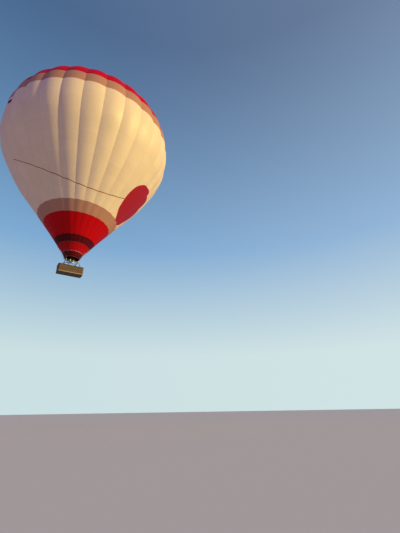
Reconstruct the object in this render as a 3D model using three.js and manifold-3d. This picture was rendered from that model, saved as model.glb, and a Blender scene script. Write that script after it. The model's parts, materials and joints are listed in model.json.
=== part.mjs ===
// Hot air balloon: gored envelope with a parachute valve, skirt, burners on a gimbal and a wicker basket.
// Units are millimetres and +Z is up. The origin is in the air at the centre of the envelope's widest ring,
// and the basket's long sides run along X.

import * as THREE from 'three';
import { mergeVertices } from 'three/addons/utils/BufferGeometryUtils.js';
import Module from 'manifold-3d';

const wasm = await Module();
wasm.setup();

// Driving dimensions

const REST = 0.3; // the gap between pieces that rest on each other or are sewn together

// The envelope's outer face at the crest of a gore, from the mouth to the crown
const ENVELOPE_PROFILE = [
  { radius: 2190, height: -17950 },
  { radius: 2905, height: -16945 },
  { radius: 4400, height: -14930 },
  { radius: 6600, height: -12060 },
  { radius: 9080, height: -8900 },
  { radius: 11080, height: -5780 },
  { radius: 12520, height: -2900 },
  { radius: 13000, height: 0 },
  { radius: 12600, height: 3450 },
  { radius: 11020, height: 6350 },
  { radius: 8150, height: 7920 },
  { radius: 4400, height: 8740 },
  { radius: 0, height: 9020 },
];
const GORES = 28;
const FACETS_PER_GORE = 3;
const GORE_BULGE = 0.055; // how far a gore's crest stands out, as a share of its width
const CLOTH = 10;

const VENT_RADIUS = 3300; // the hole in the crown
const VALVE_OVERLAP = 350; // how far the valve reaches under the hole's edge
const VALVE_ROWS = 2;
const VALVE_SEAL = 0.6;

const CROWN_RING = { inner: 250, outer: 340, thickness: 16 };
const CROWN_TAPE = { width: 40, under: -2, over: 5, hubInner: 240, hubOuter: 420 };

const MOUTH_RING = { radius: 2195, tube: 14 };
// The skirt's outer face below the mouth ring, whose inner side it hangs from
const SKIRT_PROFILE = [
  { radius: 1755, height: -18490 },
  { radius: 1410, height: -18990 },
  { radius: 1175, height: -19490 },
  { radius: 1035, height: -19760 },
];
const SKIRT_HOOP_TUBE = 11;
const RING_SIDES = 2 * GORES;

const WIRE_RADIUS = 4;
const WIRE_EYE = { radius: 20, tube: 6 };
const KARABINER = { length: 110, width: 56, tube: 7 };
// Linked rings meet on a curve, so their centres sit this much nearer than flat ones would
const LUG_SLACK = 2.2;
const EYE_SLACK = 1;
const LUG = { hole: 20, rim: 16, thickness: 12, rise: 34 };

const FRAME = { halfX: 850, halfY: 620, height: -20250, tube: 24 };
const FRAME_BEND = 50;
const GIMBAL = { halfX: 600, halfY: 450, tube: 18 };
const PIVOT = { pin: 12, bore: 12.6, boss: 30, bossLength: 46, boreMargin: 10, collar: 24, collarLength: 14, gap: 6 };
const BURNER_BLOCK = { halfX: 370, halfY: 340, bar: 30, padRadius: 90 };
const BURNER = { x: 190, y: 175, radius: 140, height: 430, coils: 4, groove: 10, wall: 30 };
const BURNER_FOOT = { radius: 70, height: 34, neck: 42, neckTop: 60, canBottom: 90 };
const JET_RING = { outer: 77, inner: 56, plate: 150, top: 185, well: 140 };

const BASKET = { length: 3400, width: 1450, corner: 160, wall: 35 };
const SKID = { top: -22155, height: 45, width: 70, length: 3100, spacing: 500 };
const FLOOR_THICKNESS = 25;
const WALL_HEIGHT = 1010;
const RIM = { height: 90, width: 96, soft: 22 };
const EDGE_STRIP = { height: 110, thickness: 9 };
const PARTITION = { thickness: 30, height: 900, pad: 70, padHeight: 60, crossX: 470 };
const CYLINDER = { radius: 150, height: 760, x: 300, y: 535, sides: 12 };
const UPRIGHT = { radius: 34, outerFoot: 1160, innerFoot: 400, socket: 46, socketHeight: 90 };

// Heights that follow from them
const FLOOR_BOTTOM = SKID.top + REST;
const FLOOR_TOP = FLOOR_BOTTOM + FLOOR_THICKNESS;
const WALL_BOTTOM = FLOOR_TOP + REST;
const WALL_TOP = WALL_BOTTOM + WALL_HEIGHT;
const RIM_BOTTOM = WALL_TOP + REST;
const RIM_TOP = RIM_BOTTOM + RIM.height;

// Materials

const finish = (color, roughness, metalness = 0) =>
  new THREE.MeshStandardMaterial({ color, roughness, metalness });
const creamCloth = finish(0xeed2ae, 0.75);
const taupeCloth = finish(0x8e6a52, 0.75);
const redCloth = finish(0x8c1019, 0.7);
const darkRedCloth = finish(0x4a0d13, 0.75);
const webbing = finish(0x6b1a1c, 0.8);
const steel = finish(0x9a9ea3, 0.35, 0.9);
const brightSteel = finish(0xb8bcc0, 0.25, 0.95);
const aluminium = finish(0xb0b4b8, 0.4, 0.85);
const wicker = finish(0x8a5f3c, 0.8);
const leather = finish(0x2c2520, 0.65);
const rawhide = finish(0xa98a66, 0.7);
const plywood = finish(0x9c7a50, 0.75);
const cylinderPaint = finish(0xa9adb0, 0.35, 0.7);

// Solids: joining and cutting closed meshes

function toSolid(geometry) {
  const bare = geometry.clone();
  bare.deleteAttribute('normal');
  bare.deleteAttribute('uv');
  const merged = mergeVertices(bare, 1e-3);
  return new wasm.Manifold(new wasm.Mesh({
    numProp: 3,
    vertProperties: new Float32Array(merged.attributes.position.array),
    triVerts: new Uint32Array(merged.index.array),
  }));
}

function toGeometry(solid) {
  const mesh = solid.getMesh();
  const geometry = new THREE.BufferGeometry();
  geometry.setAttribute('position', new THREE.BufferAttribute(new Float32Array(mesh.vertProperties), 3));
  geometry.setIndex(new THREE.BufferAttribute(new Uint32Array(mesh.triVerts), 1));
  geometry.computeVertexNormals();
  return geometry;
}

function join(...geometries) {
  return toGeometry(geometries.map(toSolid).reduce((whole, piece) => whole.add(piece)));
}

function cut(geometry, ...tools) {
  return toGeometry(tools.map(toSolid).reduce((whole, tool) => whole.subtract(tool), toSolid(geometry)));
}

// Plain shapes in place

const point = (x, y, z) => new THREE.Vector3(x, y, z);

function block(sizeX, sizeY, sizeZ, centre) {
  return new THREE.BoxGeometry(sizeX, sizeY, sizeZ).translate(centre.x, centre.y, centre.z);
}

// A round bar between two points, with flat ends square to it
function bar(start, end, radius, sides = 12) {
  const along = end.clone().sub(start);
  const geometry = new THREE.CylinderGeometry(radius, radius, along.length(), sides);
  geometry.applyQuaternion(
    new THREE.Quaternion().setFromUnitVectors(point(0, 1, 0), along.clone().normalize()));
  const middle = start.clone().add(end).multiplyScalar(0.5);
  return geometry.translate(middle.x, middle.y, middle.z);
}

// A leaning round bar whose two ends are level
function leaningBar(foot, top, radius, sides = 10) {
  const rise = top.z - foot.z;
  const geometry = new THREE.CylinderGeometry(radius, radius, rise, sides).rotateX(Math.PI / 2);
  const position = geometry.attributes.position;
  for (let i = 0; i < position.count; i++) {
    const share = position.getZ(i) / rise + 0.5;
    position.setXYZ(
      i,
      position.getX(i) + THREE.MathUtils.lerp(foot.x, top.x, share),
      position.getY(i) + THREE.MathUtils.lerp(foot.y, top.y, share),
      THREE.MathUtils.lerp(foot.z, top.z, share));
  }
  return geometry;
}

// A solid turned about Z from a closed outline of [radius, height] pairs
function turned(outline, sides) {
  const closed = [...outline, outline[0]].map(([radius, height]) => new THREE.Vector2(radius, height));
  return new THREE.LatheGeometry(closed, sides).rotateX(Math.PI / 2);
}

function ring(radius, tube, height, sides) {
  return new THREE.TorusGeometry(radius, tube, 6, sides).translate(0, 0, height);
}

function roundedRectangle(length, width, corner, Path = THREE.Shape) {
  const x = length / 2 - corner;
  const y = width / 2 - corner;
  const path = new Path();
  path.moveTo(-x, -y - corner);
  path.absarc(x, -y, corner, -Math.PI / 2, 0);
  path.absarc(x, y, corner, 0, Math.PI / 2);
  path.absarc(-x, y, corner, Math.PI / 2, Math.PI);
  path.absarc(-x, -y, corner, Math.PI, 1.5 * Math.PI);
  return path;
}

// A frame with rounded corners, standing from bottom upwards
function roundedFrame(length, width, corner, thickness, bottom, height, soft = 0) {
  const shape = roundedRectangle(length - 2 * soft, width - 2 * soft, corner - soft);
  shape.holes.push(roundedRectangle(
    length - 2 * thickness + 2 * soft, width - 2 * thickness + 2 * soft, corner - thickness + soft, THREE.Path));
  return new THREE.ExtrudeGeometry(shape, {
    depth: height - 2 * soft,
    curveSegments: 4,
    bevelEnabled: soft > 0,
    bevelThickness: soft,
    bevelSize: soft,
    bevelSegments: 1,
  }).translate(0, 0, bottom + soft);
}

// The envelope's cloth: rows of rings whose radius swells between the seams

const profileCurve = new THREE.SplineCurve(
  ENVELOPE_PROFILE.map(({ radius, height }) => new THREE.Vector2(radius, height)));

// The place along the curve, from 0 at the mouth to 1 at the crown, above which isAbove is true
function placeWhere(isAbove, low) {
  let high = 1;
  for (let i = 0; i < 50; i++) {
    const middle = (low + high) / 2;
    if (isAbove(profileCurve.getPointAt(middle))) high = middle;
    else low = middle;
  }
  return (low + high) / 2;
}

const heightPlace = (height) => placeWhere((p) => p.y > height, 0);
const crownPlace = (radius) => placeWhere((p) => p.x < radius, heightPlace(0));

const seamAngle = (gore) => ((gore + 0.5) / GORES) * 2 * Math.PI;

// A point of the cloth: its place along the curve, the gore it is in, its place across that gore from 0 to 1,
// and how far it stands out from the outer face
function clothPoint(place, gore, across, offset) {
  const centre = profileCurve.getPointAt(place);
  const tangent = profileCurve.getTangentAt(place);
  const outward = new THREE.Vector2(tangent.y, -tangent.x);
  const width = (2 * Math.PI * centre.x) / GORES;
  const dip = GORE_BULGE * width * (2 * across - 1) ** 2;
  const radius = Math.max(0, centre.x - dip + offset * outward.x);
  const angle = seamAngle(gore + across);
  return point(radius * Math.cos(angle), radius * Math.sin(angle), centre.y + offset * outward.y);
}

// A shell of cloth through the given places, between two offsets, closed to a point where the curve ends
function goredShell(places, outerOffset, innerOffset) {
  const columns = GORES * FACETS_PER_GORE;
  const positions = [];
  const indices = [];
  const addRing = (place, offset, flatHeight) => {
    const start = positions.length / 3;
    const atPole = place === 1;
    for (let column = 0; column < (atPole ? 1 : columns); column++) {
      const gore = Math.floor(column / FACETS_PER_GORE);
      const p = clothPoint(place, gore, (column % FACETS_PER_GORE) / FACETS_PER_GORE, offset);
      if (atPole) p.set(0, 0, profileCurve.getPointAt(1).y + offset);
      positions.push(p.x, p.y, flatHeight ?? p.z);
    }
    return { start, atPole };
  };
  const bridge = (a, b) => {
    for (let column = 0; column < columns; column++) {
      const next = (column + 1) % columns;
      const a0 = a.start + (a.atPole ? 0 : column);
      const a1 = a.start + (a.atPole ? 0 : next);
      const b0 = b.start + (b.atPole ? 0 : column);
      const b1 = b.start + (b.atPole ? 0 : next);
      if (!a.atPole) indices.push(a0, a1, b1);
      if (!b.atPole) indices.push(a0, b1, b0);
    }
  };
  const closed = places[places.length - 1] === 1;
  const hem = places[0] === 0 ? profileCurve.getPointAt(0).y : undefined;
  const outer = places.map((place, i) => addRing(place, outerOffset, i === 0 ? hem : undefined));
  const inner = places.map((place, i) => addRing(place, innerOffset, i === 0 ? hem : undefined));
  for (let i = 0; i + 1 < places.length; i++) {
    bridge(outer[i], outer[i + 1]);
    bridge(inner[i + 1], inner[i]);
  }
  bridge(inner[0], outer[0]);
  if (!closed) bridge(outer[outer.length - 1], inner[inner.length - 1]);
  const geometry = new THREE.BufferGeometry();
  geometry.setAttribute('position', new THREE.Float32BufferAttribute(positions, 3));
  geometry.setIndex(indices);
  geometry.computeVertexNormals();
  return geometry;
}

// The envelope's bands of cloth from the mouth up: the height of each one's lower seam, and its rows of panels
const ENVELOPE_BANDS = [
  { name: 'mouth_band', from: ENVELOPE_PROFILE[0].height, rows: 1, cloth: darkRedCloth },
  { name: 'cone_red', from: -17100, rows: 2, cloth: redCloth },
  { name: 'cone_taupe', from: -14550, rows: 1, cloth: taupeCloth },
  { name: 'body_lower', from: -13200, rows: 4, cloth: creamCloth },
  { name: 'body_upper', from: -5000, rows: 3, cloth: creamCloth },
  { name: 'crown_taupe', from: 1300, rows: 1, cloth: taupeCloth },
  { name: 'crown_red', from: 3200, rows: 4, cloth: redCloth },
];

const evenPlaces = (from, to, rows) => Array.from({ length: rows + 1 }, (_, i) =>
  (i === rows ? to : from + ((to - from) * i) / rows));
const seamShare = REST / 2 / profileCurve.getLength();
const ventPlace = crownPlace(VENT_RADIUS);
const valvePlace = crownPlace(VENT_RADIUS + VALVE_OVERLAP);
const valvePlaces = [valvePlace, ...evenPlaces(ventPlace, 1, VALVE_ROWS)];

function envelopeBand(index) {
  const above = ENVELOPE_BANDS[index + 1];
  const from = index === 0 ? 0 : heightPlace(ENVELOPE_BANDS[index].from) + seamShare;
  const to = above ? heightPlace(above.from) - seamShare : valvePlace;
  const places = evenPlaces(from, to, ENVELOPE_BANDS[index].rows);
  return goredShell(above ? places : [...places, ventPlace], 0, -CLOTH);
}

// Crown: tapes over the vent, gathered on a ring

function crownTapes() {
  const hubPlace = crownPlace((CROWN_TAPE.hubInner + CROWN_TAPE.hubOuter) / 2);
  const places = [...valvePlaces.slice(1).filter((place) => place < hubPlace), hubPlace];
  const tapes = Array.from({ length: GORES }, (_, gore) => {
    const across = point(-Math.sin(seamAngle(gore)), Math.cos(seamAngle(gore)), 0);
    const inward = point(-Math.cos(seamAngle(gore)), -Math.sin(seamAngle(gore)), 0);
    const positions = [];
    const indices = [];
    places.forEach((place, i) => {
      for (const [offset, side] of [
        [CROWN_TAPE.under, -1], [CROWN_TAPE.under, 1], [CROWN_TAPE.over, 1], [CROWN_TAPE.over, -1]]) {
        const p = clothPoint(place, gore, 0, offset);
        p.addScaledVector(across, (side * CROWN_TAPE.width) / 2);
        if (i === 0) p.addScaledVector(inward, 2 * REST);
        positions.push(p.x, p.y, p.z);
      }
    });
    const quad = (a, b, c, d) => indices.push(a, c, b, a, d, c);
    for (let i = 0; i + 1 < places.length; i++) {
      for (let side = 0; side < 4; side++) {
        const next = (side + 1) % 4;
        quad(4 * i + side, 4 * i + next, 4 * i + 4 + next, 4 * i + 4 + side);
      }
    }
    const last = 4 * (places.length - 1);
    quad(3, 2, 1, 0);
    quad(last, last + 1, last + 2, last + 3);
    const geometry = new THREE.BufferGeometry();
    geometry.setAttribute('position', new THREE.Float32BufferAttribute(positions, 3));
    geometry.setIndex(indices);
    return geometry;
  });
  const hubHeight = profileCurve.getPointAt(hubPlace).y;
  const hub = turned([
    [CROWN_TAPE.hubInner, hubHeight + CROWN_TAPE.under],
    [CROWN_TAPE.hubOuter, hubHeight + CROWN_TAPE.under],
    [CROWN_TAPE.hubOuter, hubHeight + CROWN_TAPE.over],
    [CROWN_TAPE.hubInner, hubHeight + CROWN_TAPE.over],
  ], GORES);
  return { geometry: join(hub, ...tapes), top: hubHeight + CROWN_TAPE.over };
}

function crownRing(bottom) {
  const { inner, outer, thickness } = CROWN_RING;
  return turned([
    [inner, bottom], [outer, bottom], [outer, bottom + thickness], [inner, bottom + thickness],
  ], GORES);
}

// Mouth and skirt

const hoopTop = (tube) => tube * Math.sin(Math.PI / 3); // a hoop's six-sided tube has a flat on top
const mouthRingHeight = ENVELOPE_PROFILE[0].height - REST - hoopTop(MOUTH_RING.tube);

function skirt() {
  const hem = [MOUTH_RING.radius - MOUTH_RING.tube - REST, mouthRingHeight];
  const outer = [hem, ...SKIRT_PROFILE.map(({ radius, height }) => [radius, height])];
  const inner = outer.map(([radius, height]) => [radius - CLOTH, height]);
  return turned([...inner, ...outer.reverse()], RING_SIDES);
}

const skirtHoopHeight = SKIRT_PROFILE[SKIRT_PROFILE.length - 1].height - REST - hoopTop(SKIRT_HOOP_TUBE);

// Rigging: at each corner seven wires meet in an eye, a karabiner joins it to the frame's lug

const CORNERS = [
  { name: '1', x: 1, y: 1 },
  { name: '2', x: -1, y: 1 },
  { name: '3', x: -1, y: -1 },
  { name: '4', x: 1, y: -1 },
];
const lugHole = FRAME.height + FRAME.tube + LUG.rise;
const karabinerBottom = lugHole + LUG.hole - LUG_SLACK - KARABINER.tube;
const karabinerTop = karabinerBottom + KARABINER.length;
const eyeCentre = karabinerTop - KARABINER.tube - EYE_SLACK - WIRE_EYE.tube + WIRE_EYE.radius;

function karabiner({ x, y }) {
  const straight = KARABINER.length - KARABINER.width;
  const radius = KARABINER.width / 2;
  const centreX = x * FRAME.halfX;
  const centreY = y * FRAME.halfY;
  const low = karabinerBottom + radius;
  const high = low + straight;
  const arcSteps = 6;
  const points = [];
  for (let i = 0; i <= arcSteps; i++) {
    const angle = Math.PI + (Math.PI * i) / arcSteps;
    points.push(point(centreX, centreY + radius * Math.cos(angle), low + radius * Math.sin(angle)));
  }
  for (let i = 0; i <= arcSteps; i++) {
    const angle = (Math.PI * i) / arcSteps;
    points.push(point(centreX, centreY + radius * Math.cos(angle), high + radius * Math.sin(angle)));
  }
  return closedTube(points, KARABINER.tube, point(1, 0, 0), 8);
}

// A tube round a closed flat loop of points, whose plane has the given normal
function closedTube(points, radius, normal, sides) {
  const positions = [];
  const indices = [];
  const count = points.length;
  points.forEach((p, i) => {
    const before = points[(i + count - 1) % count];
    const after = points[(i + 1) % count];
    const tangent = after.clone().sub(before).normalize();
    const out = tangent.clone().cross(normal);
    for (let side = 0; side < sides; side++) {
      const angle = (2 * Math.PI * side) / sides;
      const q = p.clone()
        .addScaledVector(out, radius * Math.cos(angle))
        .addScaledVector(normal, radius * Math.sin(angle));
      positions.push(q.x, q.y, q.z);
    }
  });
  for (let i = 0; i < count; i++) {
    const j = (i + 1) % count;
    for (let side = 0; side < sides; side++) {
      const next = (side + 1) % sides;
      indices.push(i * sides + side, j * sides + next, i * sides + next);
      indices.push(i * sides + side, j * sides + side, j * sides + next);
    }
  }
  const geometry = new THREE.BufferGeometry();
  geometry.setAttribute('position', new THREE.Float32BufferAttribute(positions, 3));
  geometry.setIndex(indices);
  geometry.computeVertexNormals();
  return geometry;
}

function flyingWires({ x, y }, corner) {
  const centre = point(x * FRAME.halfX, y * FRAME.halfY, eyeCentre);
  const eye = new THREE.TorusGeometry(WIRE_EYE.radius, WIRE_EYE.tube, 6, 8)
    .rotateX(Math.PI / 2)
    .translate(centre.x, centre.y, centre.z);
  const foot = centre.clone().add(point(0, 0, WIRE_EYE.radius));
  const wiresPerCorner = GORES / CORNERS.length;
  const wires = Array.from({ length: wiresPerCorner }, (_, i) => {
    const angle = seamAngle(corner * wiresPerCorner + i);
    const onRing = point(
      MOUTH_RING.radius * Math.cos(angle), MOUTH_RING.radius * Math.sin(angle), mouthRingHeight);
    const back = foot.clone().sub(onRing).normalize();
    const slant = Math.abs(back.dot(point(-Math.sin(angle), Math.cos(angle), 0)));
    const reach = (MOUTH_RING.tube + REST + WIRE_RADIUS * slant) / Math.sqrt(1 - slant ** 2);
    return bar(foot, onRing.addScaledVector(back, reach), WIRE_RADIUS, 4);
  });
  return join(eye, ...wires);
}

// Frames and burners

// A level rectangle of tube, bent round its corners
function tubeFrame(halfX, halfY, height, tube) {
  const points = roundedRectangle(2 * halfX, 2 * halfY, FRAME_BEND).getPoints(1)
    .slice(0, -1)
    .map((p) => point(p.x, p.y, height));
  return closedTube(points, tube, point(0, 0, 1), 8);
}

// Round bars on both sides of the middle, between two distances along a level direction
function pivotBars(direction, from, to, radius) {
  return [1, -1].map((side) => bar(
    direction.clone().multiplyScalar(side * from).setZ(FRAME.height),
    direction.clone().multiplyScalar(side * to).setZ(FRAME.height), radius));
}

const frameBossStart = FRAME.halfX - FRAME.tube;
const frameBossEnd = frameBossStart - PIVOT.bossLength;
const gimbalBossStart = GIMBAL.halfY - GIMBAL.tube;
const gimbalBossEnd = gimbalBossStart - PIVOT.bossLength;

function loadFrame() {
  const lugs = CORNERS.map(({ x, y }) => {
    const shape = new THREE.Shape();
    const outer = LUG.hole + LUG.rim;
    const root = -LUG.rise - FRAME.tube;
    shape.moveTo(-outer, root);
    shape.lineTo(outer, root);
    shape.absarc(0, 0, outer, 0, Math.PI);
    const hole = new THREE.Path();
    hole.absarc(0, 0, LUG.hole, 0, 2 * Math.PI);
    shape.holes.push(hole);
    return new THREE.ExtrudeGeometry(shape, { depth: LUG.thickness, bevelEnabled: false, curveSegments: 4 })
      .translate(0, 0, -LUG.thickness / 2)
      .rotateX(Math.PI / 2)
      .translate(x * FRAME.halfX, y * FRAME.halfY, lugHole);
  });
  const along = point(1, 0, 0);
  return cut(
    join(
      tubeFrame(FRAME.halfX, FRAME.halfY, FRAME.height, FRAME.tube),
      ...lugs,
      ...pivotBars(along, FRAME.halfX, frameBossEnd, PIVOT.boss)),
    ...pivotBars(along, frameBossStart + PIVOT.bore / 3, frameBossEnd - PIVOT.boreMargin, PIVOT.bore));
}

function gimbalFrame() {
  const roll = point(1, 0, 0);
  const pitch = point(0, 1, 0);
  const collarEnd = frameBossEnd - PIVOT.gap;
  return cut(
    join(
      tubeFrame(GIMBAL.halfX, GIMBAL.halfY, FRAME.height, GIMBAL.tube),
      ...pivotBars(roll, GIMBAL.halfX, frameBossStart, PIVOT.pin),
      ...pivotBars(roll, collarEnd, collarEnd - PIVOT.collarLength, PIVOT.collar),
      ...pivotBars(pitch, GIMBAL.halfY, gimbalBossEnd, PIVOT.boss)),
    ...pivotBars(pitch, gimbalBossStart + PIVOT.bore / 3, gimbalBossEnd - PIVOT.boreMargin, PIVOT.bore));
}

function burnerBlock() {
  const { halfX, halfY, bar: size, padRadius } = BURNER_BLOCK;
  const height = FRAME.height;
  const crossBars = [-BURNER.y, BURNER.y].map((y) => block(2 * halfX, size, size, point(0, y, height)));
  const longBars = [-halfX, 0, halfX].map((x) => block(size, 2 * halfY, size, point(x, 0, height)));
  const endBars = [-halfY, halfY].map((y) => block(2 * halfX + size, size, size, point(0, y, height)));
  const pads = burnerSpots().map(({ x, y }) =>
    bar(point(x, y, height - size / 2), point(x, y, height + size / 2), padRadius, 12));
  return join(
    ...crossBars, ...longBars, ...endBars, ...pads,
    ...pivotBars(point(0, 1, 0), halfY - size / 2, gimbalBossStart, PIVOT.pin));
}

function burnerSpots() {
  return CORNERS.map(({ name, x, y }) => ({ name, x: x * BURNER.x, y: y * BURNER.y }));
}

// A burner: a foot, and a coil of tube about its can, open at the top with the jet ring inside
function burner({ x, y }) {
  const { radius, height, coils, groove, wall } = BURNER;
  const { canBottom } = BURNER_FOOT;
  const bottom = FRAME.height + BURNER_BLOCK.bar / 2 + REST;
  const pitch = (height - canBottom) / coils;
  const foot = [
    [0, 0], [BURNER_FOOT.radius, 0], [BURNER_FOOT.radius, BURNER_FOOT.height],
    [BURNER_FOOT.neck, BURNER_FOOT.neckTop], [radius - wall, canBottom]];
  const turns = Array.from({ length: coils }, (_, i) => [
    [radius - groove, canBottom + pitch * (i + 0.1)],
    [radius, canBottom + pitch * (i + 0.3)],
    [radius, canBottom + pitch * (i + 0.8)],
  ]).flat();
  const inside = [
    [radius - wall, height], [radius - wall, JET_RING.plate], [JET_RING.outer, JET_RING.plate],
    [JET_RING.outer, JET_RING.top], [JET_RING.inner, JET_RING.top], [JET_RING.inner, JET_RING.well],
    [0, JET_RING.well]];
  return turned([...foot, ...turns, ...inside], 8).translate(x, y, bottom);
}

// Basket

function sideWall(side) {
  const { length, width, corner, wall } = BASKET;
  return block(length - 2 * corner - 2 * REST, wall, WALL_HEIGHT,
    point(0, side * (width / 2 - wall / 2), WALL_BOTTOM + WALL_HEIGHT / 2));
}

function endWall(side) {
  const { length, width, corner, wall } = BASKET;
  const x = length / 2 - corner;
  const y = width / 2 - corner;
  const shape = new THREE.Shape();
  shape.moveTo(x, -width / 2);
  shape.absarc(x, -y, corner, -Math.PI / 2, 0);
  shape.absarc(x, y, corner, 0, Math.PI / 2);
  shape.lineTo(x, width / 2 - wall);
  shape.absarc(x, y, corner - wall, Math.PI / 2, 0, true);
  shape.absarc(x, -y, corner - wall, 0, -Math.PI / 2, true);
  const geometry = new THREE.ExtrudeGeometry(shape, {
    depth: WALL_HEIGHT, bevelEnabled: false, curveSegments: 4 });
  return (side > 0 ? geometry : geometry.rotateZ(Math.PI)).translate(0, 0, WALL_BOTTOM);
}

function basketRim() {
  const { length, width, corner, wall } = BASKET;
  const spare = (RIM.width - wall) / 2;
  return roundedFrame(
    length + 2 * spare, width + 2 * spare, corner + spare, RIM.width, RIM_BOTTOM, RIM.height, RIM.soft);
}

function edgeStrip() {
  const { length, width, corner } = BASKET;
  const spare = REST + EDGE_STRIP.thickness;
  return roundedFrame(
    length + 2 * spare, width + 2 * spare, corner + spare, EDGE_STRIP.thickness, FLOOR_BOTTOM, EDGE_STRIP.height);
}

function basketFloor() {
  const { length, width, corner } = BASKET;
  return new THREE.ExtrudeGeometry(roundedRectangle(length, width, corner), {
    depth: FLOOR_THICKNESS, bevelEnabled: false, curveSegments: 4 }).translate(0, 0, FLOOR_BOTTOM);
}

function skid(y) {
  return block(SKID.length, SKID.width, SKID.height, point(0, y, SKID.top - SKID.height / 2));
}

// A woven partition with a padded top, running along Y where it crosses the basket and along X elsewhere
function partition(start, end) {
  const { thickness, height, pad, padHeight } = PARTITION;
  const along = end.clone().sub(start);
  const length = along.length() - 2 * REST;
  const turn = Math.atan2(along.y, along.x);
  const middle = start.clone().add(end).multiplyScalar(0.5);
  const panel = block(length, thickness, height, point(0, 0, height / 2));
  const top = new THREE.CylinderGeometry(pad / 2, pad / 2, length, 12)
    .rotateZ(Math.PI / 2)
    .scale(1, 1, padHeight / pad)
    .translate(0, 0, height);
  return join(panel, top).rotateZ(turn).translate(middle.x, middle.y, WALL_BOTTOM);
}

// A gas cylinder with a foot ring, and a collar round its valve
function gasCylinder(x, y) {
  const { radius, height, sides } = CYLINDER;
  const foot = { radius: 0.8 * radius, height: 30 };
  const shoulder = { bottom: height - 140, middle: height - 110, top: height - 85 };
  const collar = { outer: 0.6 * radius, inner: 0.5 * radius, top: height + 25, bottom: height - 80 };
  const valve = { radius: 22, bottom: height - 70, top: height - 10 };
  return turned([
    [0, 0], [foot.radius, 0], [foot.radius, foot.height], [radius, foot.height + 25],
    [radius, shoulder.bottom], [0.86 * radius, shoulder.middle], [collar.outer, shoulder.top],
    [collar.outer, collar.top], [collar.inner, collar.top], [collar.inner, collar.bottom],
    [valve.radius, valve.bottom], [valve.radius, valve.top], [0, valve.top],
  ], sides).translate(x, y, WALL_BOTTOM);
}

// Two padded uprights that meet under a corner of the load frame
function uprights({ x, y }) {
  const top = point(x * FRAME.halfX, y * FRAME.halfY, FRAME.height - FRAME.tube - REST);
  const footY = y * (BASKET.width / 2 - BASKET.wall / 2);
  const legs = [UPRIGHT.outerFoot, UPRIGHT.innerFoot].map((footX) =>
    leaningBar(point(x * footX, footY, RIM_TOP + REST), top, UPRIGHT.radius));
  const socket = bar(
    top, top.clone().sub(point(0, 0, UPRIGHT.socketHeight)), UPRIGHT.socket, 12);
  return join(...legs, socket);
}

// The whole balloon

const balloon = new THREE.Group();

function addPiece(name, geometry, material) {
  const mesh = new THREE.Mesh(geometry, material);
  mesh.name = name;
  balloon.add(mesh);
}

ENVELOPE_BANDS.forEach(({ name, cloth }, i) => addPiece(`envelope_${name}`, envelopeBand(i), cloth));
addPiece('parachute_valve', goredShell(valvePlaces, -CLOTH - VALVE_SEAL, -2 * CLOTH - VALVE_SEAL), redCloth);
const tapes = crownTapes();
addPiece('crown_tapes', tapes.geometry, webbing);
addPiece('crown_ring', crownRing(tapes.top + REST), aluminium);
addPiece('mouth_ring', ring(MOUTH_RING.radius, MOUTH_RING.tube, mouthRingHeight, RING_SIDES), steel);
addPiece('skirt', skirt(), darkRedCloth);
addPiece('skirt_hoop', ring(
  SKIRT_PROFILE[SKIRT_PROFILE.length - 1].radius - CLOTH / 2, SKIRT_HOOP_TUBE, skirtHoopHeight, GORES), steel);

CORNERS.forEach((corner, i) => {
  addPiece(`flying_wires_${corner.name}`, flyingWires(corner, i), steel);
  addPiece(`karabiner_${corner.name}`, karabiner(corner), brightSteel);
});

addPiece('load_frame', loadFrame(), steel);
addPiece('gimbal_frame', gimbalFrame(), steel);
addPiece('burner_block', burnerBlock(), steel);
for (const spot of burnerSpots()) addPiece(`burner_${spot.name}`, burner(spot), brightSteel);
for (const corner of CORNERS) addPiece(`uprights_${corner.name}`, uprights(corner), leather);

addPiece('basket_floor', basketFloor(), plywood);
addPiece('basket_side_front', sideWall(-1), wicker);
addPiece('basket_side_back', sideWall(1), wicker);
addPiece('basket_end_left', endWall(-1), wicker);
addPiece('basket_end_right', endWall(1), wicker);
addPiece('basket_rim', basketRim(), leather);
addPiece('basket_edge_strip', edgeStrip(), rawhide);
[-1, 0, 1].forEach((side, i) => addPiece(`skid_${i + 1}`, skid(side * SKID.spacing), plywood));

const innerX = BASKET.length / 2 - BASKET.wall;
const innerY = BASKET.width / 2 - BASKET.wall;
[-1, 1].forEach((side, i) => {
  const x = side * PARTITION.crossX;
  const beside = side * (PARTITION.crossX + PARTITION.pad / 2);
  addPiece(`partition_cross_${i + 1}`, partition(point(x, -innerY, 0), point(x, innerY, 0)), wicker);
  addPiece(`partition_long_${i + 1}`, partition(point(beside, 0, 0), point(side * innerX, 0, 0)), wicker);
});
CORNERS.forEach(({ name, x, y }) =>
  addPiece(`gas_cylinder_${name}`, gasCylinder(x * CYLINDER.x, y * CYLINDER.y), cylinderPaint));

export default balloon;
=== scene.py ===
"""Dresses the hot air balloon: gored cloth envelope, rigging, burners and a wicker basket, in metres.

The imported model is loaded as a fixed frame. Every piece made here takes its place from a node of that frame or from
the balloon's own dimensions below, sits with its object at the origin, and rides on a body of the frame.
"""

from __future__ import annotations

import json
import logging
import math
from dataclasses import dataclass, field
from enum import Enum
from functools import cache
from typing import Callable, Sequence

import bmesh
import bpy
import numpy as np
from mathutils import Matrix, Vector

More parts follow.
